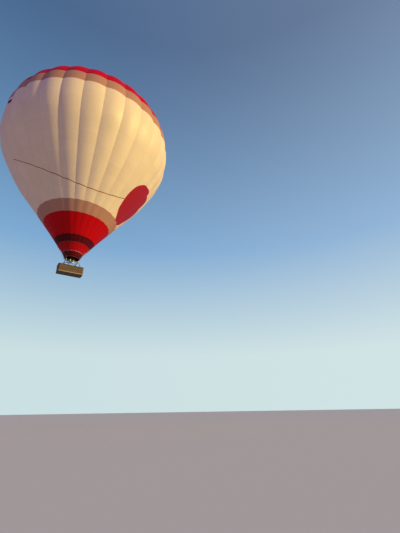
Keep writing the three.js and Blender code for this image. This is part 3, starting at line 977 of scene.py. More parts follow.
def loft(rings: Sequence[Sequence[Vector]], closed: bool, uv: Callable[[float, float], tuple[float, float]],
         proud: Sequence[Sequence[float]] = ()) -> bmesh.types.BMesh:
    """Stretches a skin over rings of points.

    Args:
        rings: The rings, all with the same number of points.
        closed: True if the last ring joins the first, or else both ends are filled.
        uv: The UV for a share of the way along the rings and a share of the way round one.
        proud: A number for each point, which is kept as an attribute.

    Returns:
        The skin.
    """
    bm = bmesh.new()
    layer = bm.verts.layers.float.new("proud") if proud else None
    steps = len(rings) if closed else len(rings) - 1
    count = len(rings[0])
    shares = sheet_grid(bm, steps, count,
                        lambda a, b: rings[round(a * steps) % len(rings)][round(b * count) % count], uv, "weave")
    if proud:
        for vert, (a, b) in shares.items():
            vert[layer] = proud[round(a * steps) % len(rings)][round(b * count) % count]
    bmesh.ops.remove_doubles(bm, verts=bm.verts, dist=MERGE)
    if not closed:
        bmesh.ops.holes_fill(bm, edges=[edge for edge in bm.edges if edge.is_boundary], sides=0)
    return bm


def join(bm: bmesh.types.BMesh, part: bmesh.types.BMesh, matrix: Matrix | None = None) -> None:
    """Moves a part into another.

    Args:
        bm: The one that grows.
        part: The one that is added and freed.
        matrix: Where it goes.
    """
    if matrix is not None:
        bmesh.ops.transform(part, matrix=matrix, verts=part.verts)
    mesh = bpy.data.meshes.new("part")
    part.to_mesh(mesh)
    part.free()
    bm.from_mesh(mesh)
    bpy.data.meshes.remove(mesh)


def add_turned(bm: bmesh.types.BMesh, outline: Pairs, steps: int, centre: Sequence[float] = (0, 0, 0),
               axis: Sequence[float] | None = None) -> None:
    """Adds a part turned round an axis.

    Args:
        bm: Where it goes.
        outline: Radius and height pairs, which start and end on the axis or close on themselves.
        steps: The steps of the turn.
        centre: The foot of the axis.
        axis: The axis, upright if left out.
    """
    part = bmesh.new()
    verts = [part.verts.new((radius, 0, height)) for radius, height in outline]
    edges = [part.edges.new(pair) for pair in zip(verts, verts[1:])]
    bmesh.ops.spin(part, geom=verts + edges, cent=(0, 0, 0), axis=(0, 0, 1), angle=TURN, steps=steps,
                   use_merge=True)
    bmesh.ops.remove_doubles(part, verts=part.verts, dist=MERGE)
    join(bm, part, aligned(centre, axis) if axis else Matrix.Translation(centre))


def strap_ring(bm: bmesh.types.BMesh, centre: Sequence[float], axis: Sequence[float], radius: float,
               width: float, thickness: float, steps: int) -> None:
    """Adds a flat strap closed round an axis.

    Args:
        bm: Where it goes.
        centre: Its centre.
        axis: Its axis.
        radius: Its inner radius.
        width: Its width along the axis.
        thickness: Its thickness.
        steps: Its steps.
    """
    half, outer = width / 2, radius + thickness
    outline = [(radius, -half), (outer, -half), (outer, half), (radius, half), (radius, -half)]
    add_turned(bm, outline, steps, centre, axis)


def add_curve(bm: bmesh.types.BMesh, curve: bpy.types.Curve,
              lines: Sequence[tuple[Sequence[Sequence[float]], bool]], matrix: Matrix | None = None) -> None:
    """Adds a curve's surface.

    Args:
        bm: Where it goes.
        curve: The curve with its own sizes, which is removed.
        lines: The points of each of its lines, and whether the line is closed.
        matrix: Where it goes.
    """
    for points, closed in lines:
        spline = curve.splines.new("POLY")
        spline.points.add(len(points) - 1)
        for target, point in zip(spline.points, points):
            target.co = (*point, 1.0)
        spline.use_cyclic_u = closed
    holder = new_object("curve", curve)
    bpy.context.view_layer.update()
    made = bpy.data.meshes.new_from_object(holder.evaluated_get(bpy.context.evaluated_depsgraph_get()))
    if matrix is not None:
        made.transform(matrix)
    bm.from_mesh(made)
    bpy.data.objects.remove(holder)
    bpy.data.curves.remove(curve)
    bpy.data.meshes.remove(made)


def add_tube(bm: bmesh.types.BMesh, points: Sequence[Sequence[float]], radius: float, closed: bool = True,
             fineness: int = 2) -> None:
    """Adds a round bar along a line of points.

    Args:
        bm: Where it goes.
        points: The points.
        radius: The bar's radius.
        closed: True if its end joins its start.
        fineness: How finely it is rounded.
    """
    curve = bpy.data.curves.new("tube", "CURVE")
    curve.dimensions = "3D"
    curve.bevel_depth = radius
    curve.bevel_resolution = fineness
    curve.use_fill_caps = not closed
    curve.twist_mode = "MINIMUM"
    add_curve(bm, curve, [(points, closed)])


def rod(bm: bmesh.types.BMesh, start: Vector, end: Vector, radius: float, sides: int,
        end_radius: float | None = None) -> None:
    """Adds a straight round bar.

    Args:
        bm: Where it goes.
        start: One end.
        end: The other end.
        radius: Its radius.
        sides: Its sides.
        end_radius: The radius at the far end, if it tapers.
    """
    bmesh.ops.create_cone(bm, cap_ends=True, segments=sides, radius1=radius,
                          radius2=radius if end_radius is None else end_radius,
                          depth=(end - start).length, matrix=aligned((start + end) / 2, end - start))


def slab(bm: bmesh.types.BMesh, size: Sequence[float], centre: Sequence[float], edge: float) -> None:
    """Adds a block with softened edges.

    Args:
        bm: Where it goes.
        size: Its three sizes.
        centre: Its centre.
        edge: How wide its bevel is.
    """
    made = bmesh.ops.create_cube(bm, size=1.0, matrix=Matrix.Translation(centre) @ Matrix.Diagonal((*size, 1.0)))
    edges = {edge_line for vert in made["verts"] for edge_line in vert.link_edges}
    bmesh.ops.bevel(bm, geom=list(edges), offset=edge, segments=2, profile=0.5, affect="EDGES", material=-1)


# Camera, light and floor


@dataclass(frozen=True)
class View:
    """The photograph's view, as a distance, a direction and a lens that were fitted to the balloon's outline."""

    focal_pixels: float = 322.76
    sensor: float = 36.0
    pitch: float = math.radians(24.2)
    roll: float = -0.016
    distance: float = 45.97
    azimuth: float = math.radians(-100.0)
    height: float = -40.18
    heading: float = math.radians(56.2)

    def build(self) -> None:
        """Makes the camera."""
        data = bpy.data.cameras.new("camera")
        data.sensor_fit = "AUTO"
        data.sensor_width = self.sensor
        data.lens = self.sensor * self.focal_pixels / max(PHOTO_SIZE)
        data.clip_start = 0.5
        data.clip_end = 5000.0
        camera = new_object("camera", data)
        forward = polar(self.heading, math.cos(self.pitch), math.sin(self.pitch))
        right = forward.cross(upwards(1)).normalized()
        up = right.cross(forward)
        x = right * math.cos(self.roll) + up * math.sin(self.roll)
        y = up * math.cos(self.roll) - right * math.sin(self.roll)
        turn = Matrix((x, y, -forward)).transposed().to_4x4()
        camera.matrix_world = Matrix.Translation(polar(self.azimuth, self.distance, self.height)) @ turn
        bpy.context.scene.camera = camera


@dataclass(frozen=True)
class Studio:
    """A pale floor at the camera's feet, a plain backdrop and soft light with a warm key from the right."""

    eye_height: float = 1.6
    floor_radius: float = 2500.0
    key_azimuth: float = math.radians(-48.0)
    key_elevation: float = math.radians(18.0)
    key_energy: float = 3.9
    key_color: tuple[float, float, float] = (1.0, 0.85, 0.24)
    key_softness: float = math.radians(4.0)
    haze: Color = paint(0xCBE0E2)
    sky: Color = paint(0x7FAAD2)
    high_sky: Color = paint(0x41628B)
    soft_low: Color = (0.215, 0.185, 0.36, 1)
    soft_high: Color = (0.20, 0.17, 0.49, 1)

    def build(self, view: View) -> None:
        """Makes the floor, the lights and the backdrop.

        Args:
            view: The camera's place.
        """
        bm = bmesh.new()
        bmesh.ops.create_circle(bm, cap_ends=True, segments=64, radius=self.floor_radius)
        bmesh.ops.translate(bm, vec=upwards(view.height - self.eye_height), verts=bm.verts)
        new_object("floor", to_mesh("floor", bm, PALE_FLOOR))
        self.key()
        self.backdrop()
        bpy.context.scene.view_settings.view_transform = "Standard"

    def key(self) -> None:
        """Makes the warm key light."""
        data = bpy.data.lights.new("key", "SUN")
        data.energy = self.key_energy
        data.color = self.key_color
        data.angle = self.key_softness
        lamp = new_object("key", data)
        toward = polar(self.key_azimuth, math.cos(self.key_elevation), math.sin(self.key_elevation))
        lamp.rotation_mode = "QUATERNION"
        lamp.rotation_quaternion = toward.to_track_quat("Z", "Y")

    def backdrop(self) -> None:
        """Makes the sky that is seen, paler towards the key, and the soft light that it gives."""
        world = bpy.data.worlds.new("backdrop")
        bpy.context.scene.world = world
        world.use_nodes = True
        r = Recipe(world.node_tree)
        east, north, up = r.split(r.node("ShaderNodeTexCoord").outputs["Generated"])
        to_key = r.add(r.times(east, math.cos(self.key_azimuth)), r.times(north, math.sin(self.key_azimuth)))
        low_sky = r.mix(r.ramp(up, 0.15, 0.45, smooth=False), self.haze, self.sky)
        clear_sky = r.mix(r.ramp(up, 0.45, 0.85, smooth=False), low_sky, self.high_sky)
        sky = r.mix(r.ramp(to_key, -0.6, 0.5, 0.0, 0.12, smooth=False), clear_sky, (1, 1, 1, 1))
        soft = r.mix(r.ramp(up, -0.05, 0.85, smooth=False), self.soft_low, self.soft_high)
        seen = r.node("ShaderNodeLightPath").outputs["Is Camera Ray"]
        r.feed(world.node_tree.nodes["Background"].inputs["Color"], r.mix(seen, soft, sky))


# Envelope


def gore_turn(across: float, gores: int) -> float:
    """Returns the angle of a place counted in gores, whose whole numbers are seams."""
    return (across + 0.5) / gores * TURN


def gore_dip(across: float, gores: int, radius: float, bulge: float) -> float:
    """Returns how far a gore lies inside the line of its middle, as a parabola that is deepest at the seams."""
    share = across - math.floor(across)
    return bulge * (TURN * radius / gores) * (2 * share - 1) ** 2


def measured(line: np.ndarray) -> np.ndarray:
    """Puts the length walked so far before each point of a line."""
    steps = np.hypot(*np.diff(line, axis=0).T)
    return np.column_stack([np.concatenate([[0], np.cumsum(steps)]), line])


def read(table: np.ndarray, walked: float) -> tuple[float, float]:
    """Returns the radius and the height at a length along a measured line."""
    return float(np.interp(walked, table[:, 0], table[:, 1])), float(np.interp(walked, table[:, 0], table[:, 2]))


@dataclass
class GoredShape:
    """The envelope's cloth: a turned outline whose gores swell between the load tapes."""

    profile: tuple[tuple[float, float], ...] = (
        (2.190, -17.950), (2.905, -16.945), (4.400, -14.930), (6.600, -12.060), (9.080, -8.900),
        (11.080, -5.780), (12.520, -2.900), (13.000, 0.0), (12.600, 3.450), (11.020, 6.350),
        (8.150, 7.920), (4.400, 8.740), (0.0, 9.020))
    gores: int = 28
    bulge: float = 0.055
    more_bulge: float = 0.022
    full_bulge_at: float = 9.0
    steps: int = 48
    table: np.ndarray = field(init=False)

    def __post_init__(self) -> None:
        """Runs a smooth curve through the outline and measures its length."""
        points = np.array(self.profile)
        curve = []
        for i in range(len(points) - 1):
            p0, p1, p2, p3 = (points[max(0, min(len(points) - 1, k))] for k in (i - 1, i, i + 1, i + 2))
            v0, v1 = (p2 - p0) / 2, (p3 - p1) / 2
            for t in np.linspace(0, 1, self.steps, endpoint=False):
                curve.append((2 * p1 - 2 * p2 + v0 + v1) * t**3 + (3 * p2 - 3 * p1 - 2 * v0 - v1) * t**2
                             + v0 * t + p1)
        curve.append(points[-1])
        self.table = measured(np.array(curve))

    @property
    def length(self) -> float:
        """Returns the cloth's length from mouth to crown."""
        return float(self.table[-1, 0])

    def at_height(self, height: float) -> float:
        """Returns the place up the cloth with this height."""
        return float(np.interp(height, self.table[:, 2], self.table[:, 0]))

    def at_crown_radius(self, radius: float) -> float:
        """Returns the place up the cloth with this radius on the crown's side."""
        top = self.table[self.table[:, 2] > 0]
        return float(np.interp(-radius, -top[:, 1], top[:, 0]))

    def point(self, along: float, across: float, offset: float = 0.0) -> Vector:
        """Gives a point of the cloth.

        Args:
            along: The place up the cloth, in metres.
            across: The place round it, in gores.
            offset: How far it stands out.

        Returns:
            The point.
        """
        step = 0.05
        radius, height = read(self.table, along)
        low = read(self.table, max(0.0, along - step))
        high = read(self.table, min(self.length, along + step))
        size = math.dist(low, high)
        bulge = self.bulge + self.more_bulge * min(1.0, along / self.full_bulge_at)
        out = radius - gore_dip(across, self.gores, radius, bulge) + offset * (high[1] - low[1]) / size
        return polar(gore_turn(across, self.gores), max(0.0, out), height - offset * (high[0] - low[0]) / size)


@dataclass
class Envelope:
    """The cloth in its bands, the load tapes, the turning vents and the crown."""

    shape: GoredShape = field(default_factory=GoredShape)
    cells_per_gore: int = 12
    cell: float = 0.26
    cloth: float = 0.010
    vent_radius: float = 3.3
    hub_radius: float = 0.33
    valve_overlap: float = 0.35
    valve_cloth: float = 0.009
    valve_gap: float = 0.0008
    valve_cells_per_gore: int = 6
    valve_rows: int = 22
    tape_width: float = 0.05
    tape_cell: float = 0.5
    tape_stand: float = 0.009
    tape_thickness: float = 0.002
    vent_tape_rows: int = 10
    vent_tape_stand: float = 0.005
    vent_tape_thickness: float = 0.004
    crown_ring_width: float = 0.09
    crown_ring_edge: float = 0.003
    crown_ring_steps: int = 72
    turning_vents_at: tuple[float, ...] = (-162.8, 17.2)
    turning_vent_height: float = 0.4
    turning_vent_foot: float = 0.75
    flap_size: tuple[float, float] = (0.62, 0.30)
    flap_stand: float = 0.012
    hem_size: tuple[float, float] = (0.64, 0.31)
    hem_stand: float = 0.017
    patch_thickness: float = 0.004
    oval_angle: float = -25.8
    oval_height: float = -10.2
    oval_half_width: float = 3.3
    oval_half_length: float = 4.1
    stripe_low: tuple[float, float] = (-88.0, -11.75)
    stripe_end: tuple[float, float] = (-174.0, -7.0)
    stripe_width: float = 0.11

    def build(self) -> None:
        """Makes the whole envelope."""
        marked = ClothFinish("cream_cloth_with_oval", CREAM, emblem=self.emblem(), gloss=0.3)
        bands = (("mouth_band", MAROON_CLOTH, Slot.DARK_RED), ("cone_red", RED_CLOTH, Slot.RED),
                 ("cone_taupe", TAUPE_CLOTH, Slot.TAUPE), ("body_lower", marked, Slot.CREAM),
                 ("body_upper", CREAM_CLOTH, Slot.CREAM), ("crown_taupe", TAUPE_CLOTH, Slot.TAUPE),
                 ("crown_red", RED_CLOTH, Slot.RED))
        vent = self.shape.at_crown_radius(self.vent_radius)
        seams = [self.shape.at_height(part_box(f"envelope_{name}")[1].z) for name, _, _ in bands[:-1]]
        for (name, finish, slot), start, end in zip(bands, [0.0, *seams], [*seams, vent]):
            rows = max(2, round((end - start) / self.cell))
            sheet = self.sheet(start, end, self.cells_per_gore, rows, 0.0)
            place_cloth(f"cloth_{name}", sheet, self.cloth, finish, slot, f"envelope_{name}")
        tapes = self.tapes(0.0, vent, round(vent / self.tape_cell), self.tape_stand, numbered=True)
        tape = TapeFinish("load_tape", paint(0x560A13), TAPE_BANDS, self.emblem())
        place_cloth("load_tapes", tapes, self.tape_thickness, tape, Slot.WEBBING)
        self.turning_vents()
        self.crown(vent)

    def gore(self, degrees: float) -> float:
        """Returns an angle round the balloon as a place counted in gores."""
        return degrees * self.shape.gores / 360 - 0.5 + self.shape.gores

    def emblem(self) -> Emblem:
        """Finds the place of the oval and the stripe on the cream cloth.

        Returns:
            The two in cloth coordinates.
        """
        along = self.shape.at_height(self.oval_height)
        gore_width = TURN * read(self.shape.table, along)[0] / self.shape.gores
        low_gore, end_gore = self.gore(self.stripe_low[0]), self.gore(self.stripe_end[0])
        low, end = self.shape.at_height(self.stripe_low[1]), self.shape.at_height(self.stripe_end[1])
        return Emblem(gore=self.gore(self.oval_angle), along=along, half_gores=self.oval_half_width / gore_width,
                      half_length=self.oval_half_length, stripe_from=end_gore, stripe_low_gore=low_gore,
                      stripe_low=low, stripe_rise=(end - low) / (end_gore - low_gore) ** 2,
                      stripe_width=self.stripe_width, repeat=float(self.shape.gores), oval_color=OVAL_RED,
                      stripe_color=STRIPE_RED)

    def sheet(self, start: float, end: float, cells: int, rows: int, offset: float) -> bmesh.types.BMesh:
        """Lays cloth right round the balloon.

        Args:
            start: Its lower edge up the cloth.
            end: Its upper edge.
            cells: Its cells in each gore.
            rows: Its rows of cells.
            offset: How far it stands out.

        Returns:
            The cloth's outer skin.
        """
        bm = bmesh.new()
        gores = self.shape.gores
        sheet_grid(bm, gores * cells, rows,
                   lambda a, b: self.shape.point(between(start, end, b), a * gores, offset),
                   lambda a, b: (a * gores, between(start, end, b)))
        return bm

    def tapes(self, start: float, end: float, rows: int, offset: float, numbered: bool) -> bmesh.types.BMesh:
        """Lays a tape over each seam.

        Args:
            start: The tapes' lower end up the cloth.
            end: Their upper end.
            rows: Their rows of cells.
            offset: How far they stand out.
            numbered: True to add the gore's number to the UV, by which the emblem is placed.

        Returns:
            The tapes' outer skin.
        """
        bm = bmesh.new()
        for gore in range(self.shape.gores):
            first = gore if numbered else 0
            side = beside(polar(gore_turn(gore, self.shape.gores), 1))
            sheet_grid(bm, 2, rows, lambda a, b: self.shape.point(
                between(start, end, b), gore, offset) + side * (a - 0.5) * self.tape_width,
                lambda a, b: (first + a, b * (end - start)))
        return bm

    def turning_vents(self) -> None:
        """Makes the two slits that turn the balloon, each with its closing flap and hem; the flaps' dark maroon
        paints the shade inside the slits.
        """
        flaps, hems = bmesh.new(), bmesh.new()
        edges = ((0.0, 0.09, 0, 1), (0.93, 1.0, 0, 1), (0, 1, 0.0, 0.08), (0, 1, 0.92, 1.0))
        for degrees in self.turning_vents_at:
            gore = self.gore(degrees)
            self.vent_patch(flaps, gore, *self.flap_size, self.flap_stand, (0, 1, 0, 1))
            for edge in edges:
                self.vent_patch(hems, gore, *self.hem_size, self.hem_stand, edge)
        # Painted shade: the flaps are dark maroon where the open slits show shade inside.
        place_cloth("turning_vent_flaps", flaps, self.patch_thickness, MAROON_CLOTH, Slot.DARK_RED)
        place_cloth("turning_vent_hems", hems, self.patch_thickness, RED_TAPE, Slot.WEBBING)

    def vent_patch(self, bm: bmesh.types.BMesh, gore: float, length: float, width: float, offset: float,
                   span: tuple[float, float, float, float]) -> None:
        """Adds a patch of cloth over a turning vent, which is narrower at its foot.

        Args:
            bm: Where it goes.
            gore: The vent's place in gores.
            length: The whole vent's length.
            width: Its width in gores.
            offset: How far the patch stands out.
            span: The shares of the vent that the patch covers: low, high, left and right.
        """
        low, high, left, right = span
        middle, foot = self.shape.at_height(self.turning_vent_height), self.turning_vent_foot
        sheet_grid(bm, 8, 10, lambda a, b: self.shape.point(
            middle + (between(low, high, b) - 0.5) * length,
            gore + (between(left, right, a) - 0.5) * width * between(foot, 1.0, between(low, high, b)), offset),
            lambda a, b: (a, b))

    def crown(self, vent: float) -> None:
        """Makes the parachute valve, the tapes over the vent with their hub, and the crown ring.

        Args:
            vent: The vent's edge up the cloth.
        """
        start = self.shape.at_crown_radius(self.vent_radius + self.valve_overlap)
        valve = self.sheet(start, self.shape.length, self.valve_cells_per_gore, self.valve_rows,
                           -(self.cloth + self.valve_gap))
        place_cloth("valve_cloth", valve, self.valve_cloth, VALVE_CLOTH, Slot.RED, "parachute_valve", Body.VALVE)
        hub = self.shape.at_crown_radius(self.hub_radius)
        tapes = self.tapes(vent, hub, self.vent_tape_rows, self.vent_tape_stand, numbered=False)
        place_cloth("vent_tapes", tapes, self.vent_tape_thickness, RED_TAPE, Slot.WEBBING, "crown_tapes")
        low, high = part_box("crown_ring")
        outer, inner, edge = high.x, high.x - self.crown_ring_width, self.crown_ring_edge
        ring = bmesh.new()
        add_turned(ring, [(inner, low.z), (inner, high.z - edge), (inner + edge, high.z), (outer - edge, high.z),
                          (outer, high.z - edge), (outer, low.z), (inner, low.z)], self.crown_ring_steps)
        place_piece("crown_ring_turned", ring, ALLOY, Slot.ALUMINIUM, "crown_ring")


@dataclass
class Skirt:
    """The skirt's cloth and the clips that hold its two parts together."""

    outline: tuple[tuple[float, float], ...] = (
        (2.181, -17.962), (1.755, -18.490), (1.410, -18.990), (1.175, -19.490), (1.035, -19.760))
    gores: int = 28
    cells_per_gore: int = 10
    rows: int = 24
    bulge: float = 0.035
    thickness: float = 0.003
    clip_height: float = -19.03
    table: np.ndarray = field(init=False)

    def __post_init__(self) -> None:
        """Measures the outline's length."""
        self.table = measured(np.array(self.outline))

    @property
    def area(self) -> float:
        """Returns the cloth's flat area."""
        line = self.table
        return float(sum(math.pi * (a[1] + b[1]) * (b[0] - a[0]) for a, b in zip(line, line[1:])))

    def point(self, along: float, across: float) -> Vector:
        """Gives a point of the skirt.

        Args:
            along: The place down the cloth, in metres.
            across: The place round it, in gores.

        Returns:
            The point.
        """
        radius, height = read(self.table, along)
        dip = gore_dip(across, self.gores, radius, self.bulge)
        return polar(gore_turn(across, self.gores), radius - dip, height)

    def build(self) -> None:
        """Makes the skirt and its clips."""
        length = float(self.table[-1, 0])
        bm = bmesh.new()
        sheet_grid(bm, self.gores * self.cells_per_gore, self.rows,
                   lambda a, b: self.point(b * length, a * self.gores),
                   lambda a, b: (a * self.gores, b * length))
        # Below the clips the skirt is darker red cloth, darkened further as painted shade under the envelope.
        finish = ClothFinish("skirt_cloth", paint(0xB0030E), roughness=0.6, panel=5.0, gore_width=0.35,
                             pucker=0.012, lower=SKIRT_DARK_WITH_PAINTED_SHADE, lower_below=self.clip_height)
        piece = place_cloth("skirt_cloth", bm, self.thickness, finish, Slot.DARK_RED, "skirt", fold=13.0)
        self.area
        self.clips()

    def clips(self) -> None:
        """Makes the pale clips that hold the skirt's two parts together."""
        along = float(np.interp(-self.clip_height, -self.table[:, 2], self.table[:, 0]))
        bm = bmesh.new()
        for gore in range(self.gores):
            centre = self.point(along, gore)
            above, right = self.point(along - 0.05, gore), self.point(along, gore + 0.1)
            tab = bmesh.new()
            slab(tab, (0.055, 0.085, 0.008), (0, 0.01, 0.006), 0.003)
            slab(tab, (0.062, 0.024, 0.016), (0, -0.028, 0.010), 0.005)
            rod(tab, Vector((0, 0.024, 0.006)), Vector((0, 0.024, 0.018)), 0.011, 16)
            join(bm, tab, aligned(centre, (right - centre).cross(above - centre).normalized()))
        place_piece("skirt_clips", bm, PALE_CLIP, Slot.ALUMINIUM)


# Paths and swept shapes


@dataclass(frozen=True)
class RoundedPath:
    """A level rectangle with rounded corners, walked from the left end of its front side."""

    half_x: float
    half_y: float
    corner: float

    @property
    def sides(self) -> tuple[float, float, float]:
        """Returns the length of a long side, a corner and a short side."""
        return 2 * (self.half_x - self.corner), self.corner * math.pi / 2, 2 * (self.half_y - self.corner)

    @property
    def length(self) -> float:
        """Returns the whole way round."""
        return 2 * sum(self.sides) + 2 * self.sides[1]

    def grown(self, by: float) -> RoundedPath:
        """Returns the path that lies this far outside this one."""
        return RoundedPath(self.half_x + by, self.half_y + by, self.corner + by)

    def at(self, walked: float) -> tuple[Vector, Vector]:
        """Finds a place on the path.

        Args:
            walked: How far along it is.

        Returns:
            The place and the level direction outwards.
        """
        long, bend, short = self.sides
        left = walked % self.length
        x, y = self.half_x - self.corner, self.half_y - self.corner
        for index, size in enumerate((long, bend, short, bend, long, bend, short, bend)):
            if left <= size or index == 7:
                break
            left -= size
        side = index // 2
        if index % 2 == 0:
            out = Vector(((0, -1, 0), (1, 0, 0), (0, 1, 0), (-1, 0, 0))[side])
            start = ((-x, -self.half_y, 0), (self.half_x, -y, 0), (x, self.half_y, 0), (-self.half_x, y, 0))[side]
            return Vector(start) + beside(out) * left, out
        out = polar((side - 1) * math.pi / 2 + left / self.corner, 1)
        return Vector(((x, -y, 0), (x, y, 0), (-x, y, 0), (-x, -y, 0))[side]) + out * self.corner, out


@dataclass(frozen=True)
class StraightPath:
    """A level straight line."""

    start: tuple[float, float]
    end: tuple[float, float]

    @property
    def length(self) -> float:
        """Returns its length."""
        return math.dist(self.start, self.end)

    def at(self, walked: float) -> tuple[Vector, Vector]:
        """Returns the place on the line and the level direction to its right."""
        start, end = Vector((*self.start, 0)), Vector((*self.end, 0))
        return start + (end - start).normalized() * walked, -beside((end - start).normalized())


def swept(path: RoundedPath, steps: int, section: Callable[[float], Pairs]) -> bmesh.types.BMesh:
    """Sweeps a closed section right round a path.

    Args:
        path: The path.
        steps: Its steps.
        section: Gives the section's offset and height pairs for a distance along the path.

    Returns:
        The skin.
    """
    rings = []
    for step in range(steps):
        along = step / steps * path.length
        spot, out = path.at(along)
        rings.append([spot + out * offset + upwards(height) for offset, height in section(along)])
    return loft(rings, True, lambda a, b: (a * path.length, b))


# Rings, wires and karabiners


CORNERS = ((1, 1), (-1, 1), (-1, -1), (1, -1))


@dataclass(frozen=True)
class FrameSize:
    """The load frame's height and half sizes, which the wires, the burners and the uprights share."""

    half_x: float = 0.85
    half_y: float = 0.62
    height: float = -20.25
    tube: float = 0.024

    def corners(self, height: float) -> list[Vector]:
        """Returns the four corners at a height."""
        return [Vector((x * self.half_x, y * self.half_y, height)) for x, y in CORNERS]


@dataclass
class Rigging:
    """What joins the cloth to the load frame."""

    gores: int
    frame: FrameSize = FrameSize()
    ring_radius: float = 2.195
    ring_height: float = -17.9624
    ring_tube: float = 0.014
    ring_steps: int = 224
    hoop_radius: float = 1.030
    hoop_height: float = -19.7698
    hoop_tube: float = 0.011
    hoop_steps: int = 168
    loop_gap: float = 0.0006
    loop_width: float = 0.05
    loop_thickness: float = 0.0022
    eye_height: float = -20.0652
    eye_radius: float = 0.020
    eye_tube: float = 0.006
    wire: float = 0.004
    sleeve: float = 0.0076
    sleeve_length: float = 0.055
    karabiner_bottom: float = -20.1812
    karabiner_radius: float = 0.028
    karabiner_length: float = 0.110
    karabiner_tube: float = 0.007

    def build(self) -> None:
        """Makes the rings, wires and karabiners."""
        mouth, hoop = bmesh.new(), bmesh.new()
        add_tube(mouth, circle(upwards(self.ring_height), self.ring_radius, self.ring_steps), self.ring_tube)
        place_piece("mouth_ring_steel", mouth, COATED_STEEL, Slot.STEEL, "mouth_ring")
        add_tube(hoop, circle(upwards(self.hoop_height), self.hoop_radius, self.hoop_steps), self.hoop_tube)
        place_piece("skirt_hoop_steel", hoop, STEEL, Slot.STEEL, "skirt_hoop")
        tops = [polar(gore_turn(gore, self.gores), self.ring_radius, self.ring_height)
                for gore in range(self.gores)]
        loops = bmesh.new()
        for top in tops:
            strap_ring(loops, top, beside(top).normalized(), self.ring_tube + self.loop_gap, self.loop_width,
                       self.loop_thickness, 16)
        place_piece("ring_loops", loops, LOOP_WEBBING, Slot.WEBBING)
        each = self.gores // len(CORNERS)
        eyes, feet = self.frame.corners(self.eye_height), self.frame.corners(self.karabiner_bottom)
        for index, (eye, foot) in enumerate(zip(eyes, feet)):
            self.wires(index + 1, eye, tops[index * each:(index + 1) * each])
            self.karabiner(index + 1, foot)

    def wires(self, number: int, eye: Vector, tops: Sequence[Vector]) -> None:
        """Makes a corner's wires with their sleeves, and the eye where they meet.

        Args:
            number: The corner's number.
            eye: The eye's middle.
            tops: The wires' places on the mouth ring.
        """
        foot = eye + upwards(self.eye_radius)
        bm = bmesh.new()
        for top in tops:
            back = (foot - top).normalized()
            end = top + back * (self.ring_tube + 0.006)
            rod(bm, foot, end, self.wire, 8)
            rod(bm, end, end + back * self.sleeve_length, self.sleeve, 10)
            rod(bm, foot - back * 0.03, foot - back * 0.09, self.sleeve, 10)
        rod(bm, foot - upwards(0.004), foot + upwards(0.03), 0.013, 16, 0.017)
        arms = circle(Vector(), self.eye_radius, 24)
        add_tube(bm, [eye + Vector((arm.x, 0, arm.y)) for arm in arms], self.eye_tube)
        place_piece(f"wire_cables_{number}", bm, WIRE, Slot.STEEL, f"flying_wires_{number}")

    def karabiner(self, number: int, foot: Vector) -> None:
        """Makes a karabiner with a screwed gate.

        Args:
            number: The corner's number.
            foot: The karabiner's lowest point.
        """
        low, high = self.karabiner_radius, self.karabiner_length - self.karabiner_radius
        points = []
        for start, height in ((math.pi, low), (0.0, high)):
            for step in range(13):
                arm = polar(start + math.pi * step / 12, self.karabiner_radius)
                points.append(foot + Vector((0, arm.x, height + arm.y)))
        bm = bmesh.new()
        add_tube(bm, points, self.karabiner_tube)
        sleeve = [(0.0072, low + 0.006), (0.0100, low + 0.008), (0.0100, high - 0.014), (0.0072, high - 0.010),
                  (0.0072, low + 0.006)]
        add_turned(bm, sleeve, 20, foot + Vector((0, self.karabiner_radius, 0)))
        place_piece(f"screw_karabiner_{number}", bm, BRIGHT, Slot.BRIGHT, f"karabiner_{number}")


# Load frame, gimbal and burners


